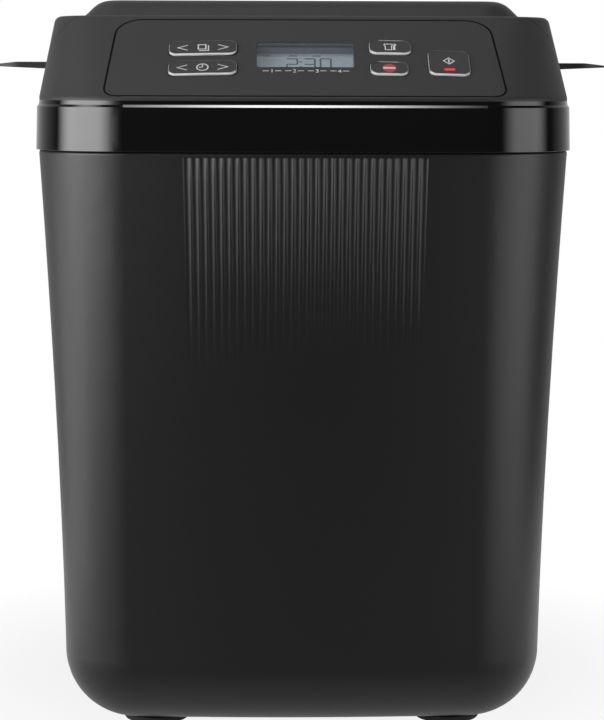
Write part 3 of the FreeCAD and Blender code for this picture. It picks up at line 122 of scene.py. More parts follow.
def mottle(tree, value, colour, dark, light):
    low, high = noiseRange
    return ramp(tree, value, [(low, shade(colour, dark)), (high, shade(colour, light))])


def dress(tree, shader, tone, value, rough, within=noiseRange):
    tree.links.new(tone, shader.inputs["Base Color"])
    tree.links.new(span(tree, value, *rough, within), shader.inputs["Roughness"])


def mouldedFinish(name, look):
    mat, tree, shader = startFinish(name)
    place = objectPlace(tree)
    broad = noise(tree, place, look["cloud"], 3.0)
    fine = noise(tree, place, look["grain"], 1.0)
    tone = mottle(tree, broad, look["colour"], 1 - look["drift"], 1 + look["drift"])
    dress(tree, shader, tone, fine, look["rough"])
    shader.inputs["Specular IOR Level"].default_value = look.get("specular", 0.5)
    shader.inputs["Coat Weight"].default_value = look.get("coat", 0.0)
    relief(tree, shader, fine, look["relief"], look.get("depth", reliefDepth["moulded"]))
    return mat


def metalFinish(name, look):
    mat, tree, shader = startFinish(name)
    lines = noise(tree, objectPlace(tree, look["stretch"]), look["grain"], 3.0, 0.6)
    broad = noise(tree, objectPlace(tree), look["cloud"])
    dress(tree, shader, mottle(tree, broad, look["colour"], 0.92, 1.05), lines, look["rough"])
    shader.inputs["Metallic"].default_value = 1.0
    relief(tree, shader, lines, look["relief"], reliefDepth["metal"])
    return mat


def spangleFinish(name, look):
    mat, tree, shader = startFinish(name)
    place = objectPlace(tree)
    flakes = cells(tree, place, look["flake"])
    fine = noise(tree, place, look["grain"])
    tone = ramp(tree, flakes, [(0.0, shade(look["colour"], 0.8)), (1.0, shade(look["colour"], 1.12))])
    dress(tree, shader, tone, flakes, look["rough"], (0.0, 1.0))
    shader.inputs["Metallic"].default_value = 1.0
    relief(tree, shader, fine, look["relief"], reliefDepth["spangle"])
    return mat


def speckleFinish(name, look):
    mat, tree, shader = startFinish(name)
    place = objectPlace(tree)
    dots = cells(tree, place, look["speck"], "Distance")
    broad = noise(tree, place, look["cloud"], 3.0)
    inner, outer = look["dot"]
    tone = ramp(tree, dots, [(0.0, look["fleck"]), (inner, look["fleck"]), (outer, look["colour"])])
    dress(tree, shader, tone, broad, look["rough"])
    shader.inputs["Coat Weight"].default_value = look["coat"]
    shader.inputs["Coat Roughness"].default_value = look["coatRough"]
    relief(tree, shader, dots, look["relief"], reliefDepth["speckle"])
    return mat


def layeredFinish(name, look):
    mat, tree, shader = startFinish(name)
    place = objectPlace(tree)
    lines = bands(tree, place, look["pitch"], look["along"])
    tone = ramp(tree, lines, [(0.1, shade(look["colour"], 0.55)), (0.5, look["colour"])])
    dress(tree, shader, tone, noise(tree, place, look["grain"]), look["rough"])
    shader.inputs["Metallic"].default_value = 1.0
    relief(tree, shader, lines, look["relief"], reliefDepth["layered"])
    return mat


def boardFinish(name, look):
    mat, tree, shader = startFinish(name)
    place = objectPlace(tree)
    tracks = cells(tree, place, look["track"], "Distance")
    board, track = look["colour"], look["trackColour"]
    tone = ramp(tree, tracks, [(0.2, board), (0.3, track), (0.42, track), (0.5, board)])
    dress(tree, shader, tone, noise(tree, place, look["grain"]), look["rough"])
    shader.inputs["Coat Weight"].default_value = look["coat"]
    relief(tree, shader, tracks, look["relief"], reliefDepth["board"])
    return mat


def paneFinish(name, look):
    mat, tree, shader = startFinish(name)
    haze = noise(tree, objectPlace(tree), look["cloud"], 3.0)
    dress(tree, shader, mottle(tree, haze, look["colour"], 0.94, 1.0), haze, look["rough"])
    shader.inputs["Alpha"].default_value = look["alpha"]
    mat.blend_method = "BLEND"
    return mat


def lensFinish(name, look):
    mat, tree, shader = startFinish(name)
    cloud = noise(tree, objectPlace(tree), look["cloud"])
    tone = mottle(tree, cloud, look["colour"], 0.85, 1.0)
    dress(tree, shader, tone, cloud, look["rough"])
    tree.links.new(tone, shader.inputs["Emission Color"])
    shader.inputs["Emission Strength"].default_value = look["glow"]
    return mat


finishLooks = {
    "case_plastic": (mouldedFinish, {
        "colour": (0.0042, 0.0043, 0.005), "drift": 0.08, "cloud": 14.0, "grain": 2600.0,
        "rough": (0.38, 0.46), "relief": 0.12, "specular": 0.75}),
    "console_plastic": (mouldedFinish, {
        "colour": (0.026, 0.026, 0.028), "drift": 0.06, "cloud": 18.0, "grain": 2400.0,
        "rough": (0.44, 0.56), "relief": 0.14}),
    "gloss_black": (mouldedFinish, {
        "colour": (0.006, 0.006, 0.0066), "drift": 0.1, "cloud": 25.0, "grain": 60.0,
        "rough": (0.05, 0.09), "relief": 0.01, "depth": 0.02 * mm, "coat": 0.25}),
    "key_plastic": (mouldedFinish, {
        "colour": (0.032, 0.032, 0.034), "drift": 0.06, "cloud": 60.0, "grain": 2600.0,
        "rough": (0.36, 0.46), "relief": 0.08}),
    "red_lens": (lensFinish, {
        "colour": (0.72, 0.045, 0.06), "glow": 0.35, "cloud": 500.0, "rough": (0.12, 0.2)}),
    "window_clear": (paneFinish, {
        "colour": (0.5, 0.56, 0.6), "alpha": 0.1, "cloud": 140.0, "rough": (0.04, 0.08)}),
    "display_panel": (mouldedFinish, {
        "colour": (0.42, 0.49, 0.53), "drift": 0.05, "cloud": 60.0, "grain": 1500.0,
        "rough": (0.28, 0.36), "relief": 0.02}),
    "foot_rubber": (mouldedFinish, {
        "colour": (0.014, 0.014, 0.016), "drift": 0.15, "cloud": 120.0, "grain": 1800.0,
        "rough": (0.7, 0.85), "relief": 0.3}),
    "steel": (metalFinish, {
        "colour": (0.52, 0.52, 0.53), "stretch": (1, 1, 6), "grain": 900.0, "cloud": 40.0,
        "rough": (0.2, 0.34), "relief": 0.08}),
    "bright_aluminium": (metalFinish, {
        "colour": (0.7, 0.7, 0.71), "stretch": (1, 8, 1), "grain": 700.0, "cloud": 30.0,
        "rough": (0.24, 0.4), "relief": 0.1}),
    "pan_coating": (speckleFinish, {
        "colour": (0.04, 0.04, 0.042), "fleck": (0.16, 0.16, 0.16), "speck": 900.0,
        "dot": (0.16, 0.24), "cloud": 30.0, "rough": (0.34, 0.46), "coat": 0.2, "coatRough": 0.25,
        "relief": 0.1}),
    "sheet_steel": (spangleFinish, {
        "colour": (0.46, 0.46, 0.47), "flake": 160.0, "grain": 900.0, "rough": (0.28, 0.46),
        "relief": 0.06}),
    "board_green": (boardFinish, {
        "colour": (0.012, 0.09, 0.04), "trackColour": (0.03, 0.16, 0.07), "track": 260.0,
        "grain": 400.0, "rough": (0.3, 0.42), "coat": 0.3, "relief": 0.2}),
    "component_black": (mouldedFinish, {
        "colour": (0.016, 0.016, 0.017), "drift": 0.2, "cloud": 90.0, "grain": 1600.0,
        "rough": (0.45, 0.6), "relief": 0.15}),
    "copper": (layeredFinish, {
        "colour": (0.62, 0.26, 0.11), "pitch": 420.0, "along": "Z", "grain": 300.0,
        "rough": (0.22, 0.34), "relief": 0.7}),
    "iron_core": (layeredFinish, {
        "colour": (0.2, 0.2, 0.21), "pitch": 320.0, "along": "Z", "grain": 300.0,
        "rough": (0.4, 0.55), "relief": 0.5}),
    "belt_rubber": (mouldedFinish, {
        "colour": (0.018, 0.018, 0.018), "drift": 0.2, "cloud": 80.0, "grain": 1500.0,
        "rough": (0.65, 0.8), "relief": 0.3}),
    "bronze": (metalFinish, {
        "colour": (0.56, 0.37, 0.16), "stretch": (1, 1, 5), "grain": 900.0, "cloud": 60.0,
        "rough": (0.3, 0.45), "relief": 0.1}),
    "insulator": (mouldedFinish, {
        "colour": (0.68, 0.64, 0.57), "drift": 0.06, "cloud": 70.0, "grain": 1400.0,
        "rough": (0.4, 0.55), "relief": 0.12}),
    "inner_plastic": (mouldedFinish, {
        "colour": (0.06, 0.06, 0.064), "drift": 0.08, "cloud": 40.0, "grain": 1800.0,
        "rough": (0.45, 0.6), "relief": 0.15}),
}
inkLooks = {
    "whiteInk": {"colour": (0.72, 0.72, 0.7), "drift": 0.05, "cloud": 400.0, "grain": 3000.0,
                 "rough": (0.4, 0.5), "relief": 0.05},
    "redInk": {"colour": (0.5, 0.05, 0.07), "drift": 0.08, "cloud": 400.0, "grain": 3000.0,
               "rough": (0.4, 0.5), "relief": 0.05},
    "segmentInk": {"colour": (0.05, 0.065, 0.085), "drift": 0.1, "cloud": 300.0, "grain": 2000.0,
                   "rough": (0.3, 0.4), "relief": 0.02},
    "greyEdge": {"colour": (0.3, 0.3, 0.3), "drift": 0.05, "cloud": 200.0, "grain": 2600.0,
                 "rough": (0.34, 0.44), "relief": 0.04},
    # painted highlight: the bright near side of each key rim, where light catches its lower edge
    "rimPaintedHighlight": {"colour": (0.78, 0.78, 0.78), "drift": 0.05, "cloud": 200.0, "grain": 2600.0,
                   "rough": (0.34, 0.44), "relief": 0.04},
    "seamShadow": {"colour": (0.002, 0.002, 0.002), "drift": 0.1, "cloud": 200.0, "grain": 2000.0,
                   "rough": (0.8, 0.9), "relief": 0.05, "specular": 0.1},
    "displayWall": {"colour": (0.06, 0.072, 0.1), "drift": 0.1, "cloud": 120.0, "grain": 1800.0,
                    "rough": (0.4, 0.5), "relief": 0.06},
}
finishes = {slot: make(slot, look) for slot, (make, look) in finishLooks.items()}
inks = {name: mouldedFinish(name, look) for name, look in inkLooks.items()}
for part in frame["record"]["subparts"]:
    slots = frame["nodes"][part["node"]].data.materials
    for i in range(len(slots)):
        slots[i] = finishes[part["material_slot"]]
print("finishes:", len(finishes) + len(inks))

# Case front: each flute shaded as a true round channel, the lands between as the bowed and flared wall
flutes = {"count": 31, "pitch": 3.46 * mm, "radius": 3.0 * mm, "depth": 0.46 * mm, "endDepth": 0.04 * mm,
          "top": 261.8 * mm, "length": 96.0 * mm, "splay": math.radians(0.016) / mm, "half": 55.0 * mm}
wall = {"bow": 1000.0 * mm, "flare": 10.4 * mm, "power": 1.6, "foot": 3.0 * mm, "height": 261.4 * mm,
        "low": 38.0 * mm, "edge": 79.4 * mm, "front": -100.0 * mm, "facing": -0.6,
        "flattest": 0.1, "weld": 0.001 * mm}


def fluteMiddle(x, z):
    step = flutes["pitch"] * (1 - flutes["splay"] * (flutes["top"] - z))
    last = (flutes["count"] - 1) // 2
    return step * max(-last, min(last, round(x / step)))


def inChannel(spot):
    share = (flutes["top"] - spot.z) / flutes["length"]
    middle = fluteMiddle(spot.x, spot.z)
    off = spot.x - middle
    depth = flutes["depth"] + (flutes["endDepth"] - flutes["depth"]) * share
    return off * off / (2 * flutes["radius"]) + middle * off / wall["bow"] < depth


def frontNormal(spot, middle):
    share = (spot.z - wall["foot"]) / wall["height"]
    lean = -wall["flare"] * wall["power"] * share ** (wall["power"] - 1) / wall["height"]
    across = spot.x / wall["bow"]
    if middle is not None:
        ease = 1 - ((flutes["top"] - spot.z) / flutes["length"]) ** 2  # the flutes die away downwards
        across += ((middle - spot.x) / flutes["radius"] - across) * max(ease, 0.0)
    return Vector((across, -math.sqrt(max(1 - across ** 2, wall["flattest"])), lean)).normalized()


def frontShading(mesh):
    normals = [corner.vector.copy() for corner in mesh.corner_normals]
    for face in mesh.polygons:
        middle = face.center
        onWall = wall["low"] < middle.z < flutes["top"] and middle.y < wall["front"]
        if face.normal.y > wall["facing"] or not onWall:
            continue
        fluted = abs(middle.x) < flutes["half"] and flutes["top"] - middle.z < flutes["length"]
        channel = fluted and inChannel(middle)
        for corner in face.loop_indices:
            spot = mesh.vertices[mesh.loops[corner].vertex_index].co
            if abs(spot.x) < wall["edge"]:
                normals[corner] = frontNormal(spot, fluteMiddle(middle.x, spot.z) if channel else None)
    return normals


flutedMesh = frame["nodes"]["body_shell"].data.copy()
flutedMesh.name = "fluted_case"
wallShade = flutedMesh.attributes.new("wallShade", "FLOAT_VECTOR", "CORNER")
for item, normal in zip(wallShade.data, frontShading(flutedMesh)):
    item.vector = normal
joined = bmesh.new()
joined.from_mesh(flutedMesh)
bmesh.ops.remove_doubles(joined, verts=joined.verts, dist=wall["weld"])
joined.to_mesh(flutedMesh)
joined.free()
wallShade = flutedMesh.attributes["wallShade"]  # the shading came through the merge on each corner
flutedMesh.normals_split_custom_set([item.vector.copy() for item in wallShade.data])
flutedMesh.attributes.remove(flutedMesh.attributes["wallShade"])
flutedCase = bpy.data.objects.new("fluted_case", flutedMesh)
scene.collection.objects.link(flutedCase)
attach(flutedCase, "case")
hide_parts("body_shell")
print("flutes shaded:", flutes["count"])

# The console slope: x to the right, y up the slope, z out of it
slope = {"foot": (0, -150.9 * mm, 287.9 * mm), "angle": 35.0, "bow": 1000.0 * mm}
slopeFrame = Matrix.Translation(slope["foot"]) @ Matrix.Rotation(math.radians(slope["angle"]), 4, "X")


def bowDrop(x):
    return (slope["bow"] - math.sqrt(slope["bow"] ** 2 - x * x)) * math.sin(math.radians(slope["angle"]))


def layOnSlope(bm, place, level, bowed=True):
    bmesh.ops.scale(bm, vec=(mm, mm, mm), verts=bm.verts)
    bmesh.ops.translate(bm, vec=(place[0] * mm, place[1] * mm, level * mm), verts=bm.verts)
    if bowed:
        for v in bm.verts:
            v.co.z -= bowDrop(v.co.x)
    bmesh.ops.transform(bm, matrix=slopeFrame, verts=bm.verts)


sharpAngle = math.radians(32)


def addPiece(name, bm, finish, body):
    bmesh.ops.recalc_face_normals(bm, faces=bm.faces)
    mesh = bpy.data.meshes.new(name)
    bm.to_mesh(mesh)
    bm.free()
    piece = bpy.data.objects.new(name, mesh)
    scene.collection.objects.link(piece)
    mesh.materials.append(finish)
    mesh.shade_smooth()
    mesh.set_sharp_from_angle(angle=sharpAngle)
    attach(piece, body)
    return piece


def cornersOf(faces):
    return list({v for f in faces for v in f.verts})


def vertsIn(made):
    return [g for g in made["geom"] if isinstance(g, bmesh.types.BMVert)]


def flatSheet(bm, size, grow):
    spread = Matrix.Diagonal((size[0] + 2 * grow, size[1] + 2 * grow, 1, 1))
    bmesh.ops.create_grid(bm, x_segments=1, y_segments=1, size=0.5, matrix=spread)
    return bm.faces[:]


def insetRing(bm, faces, width):
    return bmesh.ops.inset_region(bm, faces=faces, thickness=width, use_boundary=True,
                                  use_even_offset=True)["faces"]


# Panel groove: painted shade, a dark strip laid down in the groove around the control panel where shade falls
grooveShadeRing = {"fill": 0.86 * mm, "below": 0.03 * mm, "reach": 76.0 * mm, "low": 6.0 * mm, "high": 50.0 * mm,
            "upright": 0.3, "weld": 0.01 * mm}
grooveShade = bmesh.new()
grooveShade.from_mesh(frame["nodes"]["control_panel"].data)
bmesh.ops.remove_doubles(grooveShade, verts=grooveShade.verts, dist=grooveShadeRing["weld"])
bmesh.ops.transform(grooveShade, matrix=slopeFrame.inverted(), verts=grooveShade.verts)
grooveShade.normal_update()
inside = []
for face in grooveShade.faces:
    spot = face.calc_center_median()
    outer = abs(spot.x) > grooveShadeRing["reach"] or not grooveShadeRing["low"] < spot.y < grooveShadeRing["high"]
    if abs(face.normal.z) > grooveShadeRing["upright"] or not outer:
        inside.append(face)
bmesh.ops.delete(grooveShade, geom=inside, context="FACES")
bmesh.ops.solidify(grooveShade, geom=grooveShade.faces[:], thickness=-grooveShadeRing["fill"])
bmesh.ops.translate(grooveShade, vec=(0, 0, -grooveShadeRing["below"]), verts=grooveShade.verts)
bmesh.ops.transform(grooveShade, matrix=slopeFrame, verts=grooveShade.verts)
addPiece("panel_groove_shade", grooveShade, inks["seamShadow"], "case")

# Printed marks, drawn in millimetres about the middle of what they are printed on
ink = {"sink": 0.08, "rise": 0.03, "segments": 40}
inkHeight = ink["sink"] + ink["rise"]


def raiseInk(bm, faces):
    bmesh.ops.translate(bm, vec=(0, 0, -ink["sink"]), verts=cornersOf(faces))
    made = bmesh.ops.extrude_face_region(bm, geom=faces)
    bmesh.ops.translate(bm, vec=(0, 0, inkHeight), verts=vertsIn(made))


def strokeBar(bm, start, end, width):
    a, b = Vector((*start, 0)), Vector((*end, 0))
    turn = Matrix.Rotation(math.atan2(b.y - a.y, b.x - a.x), 4, "Z")
    place = Matrix.Translation((a + b) / 2 + Vector((0, 0, ink["rise"] - inkHeight / 2)))
    form = Matrix.Diagonal(((b - a).length + width, width, inkHeight, 1))
    bmesh.ops.create_cube(bm, size=1.0, matrix=place @ turn @ form)


def strokeRing(bm, radius, width):
    outer = bmesh.ops.create_circle(bm, segments=ink["segments"], radius=radius + width / 2)["verts"]
    inner = bmesh.ops.create_circle(bm, segments=ink["segments"], radius=radius - width / 2)["verts"]
    rims = list({e for v in outer + inner for e in v.link_edges})
    raiseInk(bm, bmesh.ops.bridge_loops(bm, edges=rims)["faces"])


def flatShape(bm, corners):
    face = bm.faces.new([bm.verts.new((x, y, 0)) for x, y in corners])
    face.normal_update()
    return face


def fillShape(bm, corners):
    raiseInk(bm, [flatShape(bm, corners)])


def fillDisc(bm, radius):
    made = bmesh.ops.create_circle(bm, cap_ends=True, segments=ink["segments"], radius=radius)["verts"]
    raiseInk(bm, list({f for v in made for f in v.link_faces}))


def strokeShape(bm, corners, width):
    face = flatShape(bm, corners)
    ring = insetRing(bm, [face], width)
    bmesh.ops.delete(bm, geom=[face], context="FACES_ONLY")
    raiseInk(bm, ring)


# Keys
keys = {
    "menu": {"body": "menu_rocker", "place": (-45.0, 37.6), "size": (30.0, 10.0)},
    "timer": {"body": "timer_rocker", "place": (-45.0, 22.3), "size": (30.0, 10.0)},
    "size": {"body": "size_button", "place": (38.0, 38.1), "size": (18.6, 9.8)},
    "stop": {"body": "stop_button", "place": (37.0, 21.8), "size": (16.6, 9.2)},
    "start": {"body": "start_button", "place": (63.6, 27.1), "size": (18.2, 18.0)},
}
keyRim = {"corner": 3.4, "segments": 8, "longest": 3.0, "cuts": 9, "proud": 0.9, "outset": 0.1, "skirt": 0.85,
          "shoulder": 0.2, "bevelIn": 0.15, "lean": 0.15, "bevelUp": 0.12, "land": 0.06, "hem": 0.02,
          "dip": 0.06, "highlightFacing": 0.3}


# Key rims: a grey rim all round, with a painted highlight on the side facing down towards the camera
def addKeyRim(name, key):
    bm = bmesh.new()
    flatSheet(bm, key["size"], keyRim["outset"])
    bmesh.ops.bevel(bm, geom=bm.verts[:], offset=keyRim["corner"] + keyRim["outset"], affect="VERTICES",
                    segments=keyRim["segments"], profile=0.5, material=-1)
    sides = [e for e in bm.edges if e.calc_length() > keyRim["longest"]]
    bmesh.ops.subdivide_edges(bm, edges=sides, cuts=keyRim["cuts"])
    top = bm.faces[:]
    shoulder = cornersOf(top)
    insetRing(bm, top, keyRim["outset"] + keyRim["bevelIn"])
    crest = cornersOf(top)
    bmesh.ops.translate(bm, vec=(0, keyRim["lean"], 0), verts=crest)
    insetRing(bm, top, keyRim["land"])
    land = cornersOf(top)
    insetRing(bm, top, keyRim["hem"])
    hem = cornersOf(top)
    bmesh.ops.delete(bm, geom=top, context="FACES_ONLY")
    outline = set(shoulder)
    rim = [e for e in bm.edges if e.is_boundary and all(v in outline for v in e.verts)]
    skirt = vertsIn(bmesh.ops.extrude_edge_only(bm, edges=rim))
    rises = ((skirt, -keyRim["skirt"]), (shoulder, -keyRim["shoulder"]), (crest, keyRim["bevelUp"]),
             (land, keyRim["bevelUp"]), (hem, -keyRim["dip"]))
    for group, rise in rises:
        bmesh.ops.translate(bm, vec=(0, 0, rise), verts=group)
    bm.normal_update()
    for face in bm.faces:  # painted highlight: bright on the near side that faces down towards the camera, grey on the others
        face.material_index = 0 if face.normal.y < -keyRim["highlightFacing"] else 1
    layOnSlope(bm, key["place"], keyRim["proud"])
    piece = addPiece(name + "_rim", bm, inks["rimPaintedHighlight"], key["body"])
    piece.data.materials.append(inks["greyEdge"])


for name, key in keys.items():
    addKeyRim(name, key)

# Key marks
chevron = {"reach": 9.0, "width": 2.1, "height": 1.9, "line": 0.42}
pages = {"side": 3.9, "line": 0.55, "front": 0.4, "back": 0.5, "gap": 0.7}
clock = {"radius": 2.45, "line": 0.55, "handLine": 0.5, "long": 1.7, "short": 1.25}
loafMark = {
    "outline": [(-2.4, -2.4), (0.9, -2.4), (0.9, 0.7), (1.4, 1.3), (1.3, 2.1), (0.7, 2.5), (-2.2, 2.5),
                (-2.8, 2.1), (-2.9, 1.3), (-2.4, 0.7)],
    "side": [(1.3, -2.4), (2.3, -2.2), (2.3, 0.7), (2.8, 1.3), (2.7, 2.1), (2.1, 2.5), (1.5, 2.5),
             (1.8, 1.9), (1.8, 1.2), (1.3, 0.6)],
    "line": 0.5,
}
stopMark = {"radius": 3.0, "bar": 4.2, "barLine": 1.15, "lift": 0.02}
startMark = {"half": 2.7, "line": 0.5, "bar": 1.7, "barLine": 0.75, "rise": 1.3}


def addChevrons(bm):
    for side in (-1, 1):
        tip = side * (chevron["reach"] + chevron["width"])
        tail = side * (chevron["reach"] - chevron["width"])
        for end in (-1, 1):
            strokeBar(bm, (tip, 0), (tail, end * chevron["height"]), chevron["line"])


def addInk(name, bm, finish, key, lift=0.0):
    layOnSlope(bm, key["place"], keyRim["proud"] + lift)
    addPiece(name, bm, inks[finish], key["body"])


marks = bmesh.new()
addChevrons(marks)
half = pages["side"] / 2
left, right = -half - pages["front"], half - pages["front"]
low, high = -half + pages["front"], half + pages["front"]
strokeShape(marks, [(left, low), (right, low), (right, high), (left, high)], pages["line"])
corner = (half + pages["back"], -half - pages["back"])
strokeBar(marks, (-half + pages["back"], corner[1]), corner, pages["line"])
strokeBar(marks, corner, (corner[0], half - pages["gap"]), pages["line"])
addInk("menu_marks", marks, "whiteInk", keys["menu"])

marks = bmesh.new()
addChevrons(marks)
strokeRing(marks, clock["radius"], clock["line"])
strokeBar(marks, (0, 0), (0, clock["long"]), clock["handLine"])
strokeBar(marks, (0, 0), (-clock["short"], 0), clock["handLine"])
addInk("timer_marks", marks, "whiteInk", keys["timer"])

marks = bmesh.new()
strokeShape(marks, loafMark["outline"], loafMark["line"])
fillShape(marks, loafMark["side"])
addInk("size_marks", marks, "whiteInk", keys["size"])

marks = bmesh.new()
fillDisc(marks, stopMark["radius"])
addInk("stop_disc", marks, "redInk", keys["stop"])
marks = bmesh.new()
strokeBar(marks, (-stopMark["bar"] / 2, 0), (stopMark["bar"] / 2, 0), stopMark["barLine"])
addInk("stop_bar", marks, "whiteInk", keys["stop"], stopMark["lift"])

marks = bmesh.new()
reach, rise, bar = startMark["half"], startMark["rise"], startMark["bar"] / 2
strokeShape(marks, [(-reach, rise), (0, rise - reach), (reach, rise), (0, rise + reach)], startMark["line"])
strokeBar(marks, (0, rise - bar), (0, rise + bar), startMark["barLine"])
addInk("start_marks", marks, "whiteInk", keys["start"])
print("keys dressed:", len(keys))

# Display: dark walls around the recessed panel, and what it shows
display = {"place": (0.3, 32.6), "size": (42.6, 18.6), "gap": 0.2, "low": -6.15, "high": -2.85, "wall": 0.5,
           "face": -6.2}
digits = {"text": "2:30", "middle": (2.4, 34.1), "width": 4.6, "height": 8.6, "pitch": 7.1, "line": 0.8,
          "start": 1.1, "narrow": 0.55, "inset": 0.45, "dots": 1.9, "dotEnds": (-0.4, 0.1), "dotLine": 0.7}
segmentsOf = {"0": "abcdef", "2": "abdeg", "3": "abcdg"}
pointers = {"rise": 40.6, "places": (-17.0, -5.0, 5.6), "width": 3.2, "line": 0.6}

walls = bmesh.new()
pane = flatSheet(walls, display["size"], display["gap"] + display["wall"])
ring = insetRing(walls, pane, display["wall"])
bmesh.ops.delete(walls, geom=pane, context="FACES_ONLY")
made = bmesh.ops.extrude_face_region(walls, geom=ring)
bmesh.ops.translate(walls, vec=(0, 0, display["high"] - display["low"]), verts=vertsIn(made))
layOnSlope(walls, display["place"], display["low"], bowed=False)
addPiece("display_walls", walls, inks["displayWall"], "case")


def segmentEnds(width, height):
    w, h = width / 2, height / 2
    return {"a": ((-w, h), (w, h)), "b": ((w, h), (w, 0)), "c": ((w, 0), (w, -h)), "d": ((-w, -h), (w, -h)),
            "e": ((-w, -h), (-w, 0)), "f": ((-w, 0), (-w, h)), "g": ((-w, 0), (w, 0))}


shown = bmesh.new()
ends = segmentEnds(digits["width"], digits["height"])
x = digits["middle"][0] - digits["pitch"] * digits["start"]
y = digits["middle"][1]
dotLeft, dotRight = digits["dotEnds"]
for at, sign in enumerate(digits["text"]):
    if sign == ":":
        for end in (-1, 1):
            dotY = y + end * digits["dots"]
            strokeBar(shown, (x + dotLeft, dotY), (x + dotRight, dotY), digits["dotLine"])
        x += digits["pitch"] * digits["narrow"]
        continue
    for segment in segmentsOf[sign]:
        (x0, y0), (x1, y1) = ends[segment]
        inset = digits["inset"]
        dx, dy = (inset, 0) if y0 == y1 else (0, inset * (1 if y1 > y0 else -1))
        strokeBar(shown, (x + x0 + dx, y + y0 + dy), (x + x1 - dx, y + y1 - dy), digits["line"])
    x += digits["pitch"] * (digits["narrow"] if at == 0 else 1.0)  # closer before the colon
half = pointers["width"] / 2
for px in pointers["places"]:
    strokeBar(shown, (px - half, pointers["rise"]), (px + half, pointers["rise"]), pointers["line"])
layOnSlope(shown, (0, 0), display["face"], bowed=False)
addPiece("display_digits", shown, inks["segmentInk"], "case")

# Stage numbers under the display
stages = {"places": (-14.5, -4.6, 5.3, 15.2), "rise": 20.2, "height": 2.6, "letterScale": 1.35, "gap": 1.6,
          "bar": 2.3, "barLine": 0.4, "weld": 0.0005}
numbers = bmesh.new()
for i, px in enumerate(stages["places"]):
    curve = bpy.data.curves.new("stageNumber", "FONT")
    curve.body = str(i + 1)
    curve.size = stages["height"] * stages["letterScale"]
    curve.align_x = "CENTER"
    curve.extrude = inkHeight / 2
    text = bpy.data.objects.new("stageNumber", curve)
    scene.collection.objects.link(text)
    bpy.context.view_layer.update()
    flat = bpy.data.meshes.new_from_object(text.evaluated_get(bpy.context.evaluated_depsgraph_get()))
    place = (px, stages["rise"] - stages["height"] / 2, ink["rise"] - curve.extrude)
    flat.transform(Matrix.Translation(place))
    numbers.from_mesh(flat)
    bpy.data.objects.remove(text)
    bpy.data.meshes.remove(flat)
    bpy.data.curves.remove(curve)
    for side in (-1, 1):
        near, far = px + side * stages["gap"], px + side * (stages["gap"] + stages["bar"])
        strokeBar(numbers, (near, stages["rise"]), (far, stages["rise"]), stages["barLine"])
bmesh.ops.remove_doubles(numbers, verts=numbers.verts, dist=stages["weld"])
layOnSlope(numbers, (0, 0), 0.0)
addPiece("stage_numbers", numbers, inks["whiteInk"], "case")
print("display and numbers done")

# Floor, light and camera
floorLook = {"radius": 0.46, "drop": 0.0004, "near": 0.12, "far": 0.24, "keep": 0.88,
             "dim": 0.03, "dimBy": -0.2, "dimFrom": -0.05, "paper": (0.15, 0.15, 0.15, 1), "segments": 96}
floorMesh = bmesh.new()
bmesh.ops.create_circle(floorMesh, cap_ends=True, segments=floorLook["segments"], radius=floorLook["radius"])
bmesh.ops.translate(floorMesh, vec=(0, 0, -floorLook["drop"]), verts=floorMesh.verts)
floorData = bpy.data.meshes.new("studio_floor")
floorMesh.to_mesh(floorData)
floorMesh.free()
studioFloor = bpy.data.objects.new("studio_floor", floorData)
scene.collection.objects.link(studioFloor)


def combine(tree, operation, first, second):
    node = tree.nodes.new("ShaderNodeMath")
    node.operation = operation
    tree.links.new(first, node.inputs[0])
    tree.links.new(second, node.inputs[1])
    return node.outputs["Value"]


def seenDirectly(tree):
    path = tree.nodes.new("ShaderNodeLightPath")
    either = combine(tree, "MAXIMUM", path.outputs["Is Camera Ray"], path.outputs["Is Transmission Ray"])
    return path, either


paper = bpy.data.materials.new("floor_paper")
paper.use_nodes = True
tree = paper.node_tree
tree.nodes.clear()
path, direct = seenDirectly(tree)
coord = tree.nodes.new("ShaderNodeTexCoord")
ahead = tree.nodes.new("ShaderNodeSeparateXYZ")
tree.links.new(coord.outputs["Object"], ahead.inputs["Vector"])
dimmed = (floorLook["dimBy"], floorLook["dimFrom"])  # the floor ahead of the case is dimmer in its gloss
mirrorShare = span(tree, ahead.outputs["Y"], floorLook["dim"], 1.0, dimmed)
mirrored = combine(tree, "MULTIPLY", path.outputs["Is Glossy Ray"], mirrorShare)
seen = combine(tree, "MAXIMUM", direct, mirrored)
reach = tree.nodes.new("ShaderNodeVectorMath")
reach.operation = "LENGTH"
tree.links.new(coord.outputs["Object"], reach.inputs[0])
share = span(tree, reach.outputs["Value"], floorLook["keep"], 1.0, (floorLook["near"], floorLook["far"]))
matt = tree.nodes.new("ShaderNodeBsdfDiffuse")
matt.inputs["Color"].default_value = floorLook["paper"]
glow = tree.nodes.new("ShaderNodeEmission")
glow.inputs["Color"].default_value = (1, 1, 1, 1)
blend = tree.nodes.new("ShaderNodeMixShader")
tree.links.new(combine(tree, "MULTIPLY", share, seen), blend.inputs["Fac"])
tree.links.new(matt.outputs["BSDF"], blend.inputs[1])
tree.links.new(glow.outputs["Emission"], blend.inputs[2])
out = tree.nodes.new("ShaderNodeOutputMaterial")
tree.links.new(blend.outputs["Shader"], out.inputs["Surface"])
floorData.materials.append(paper)

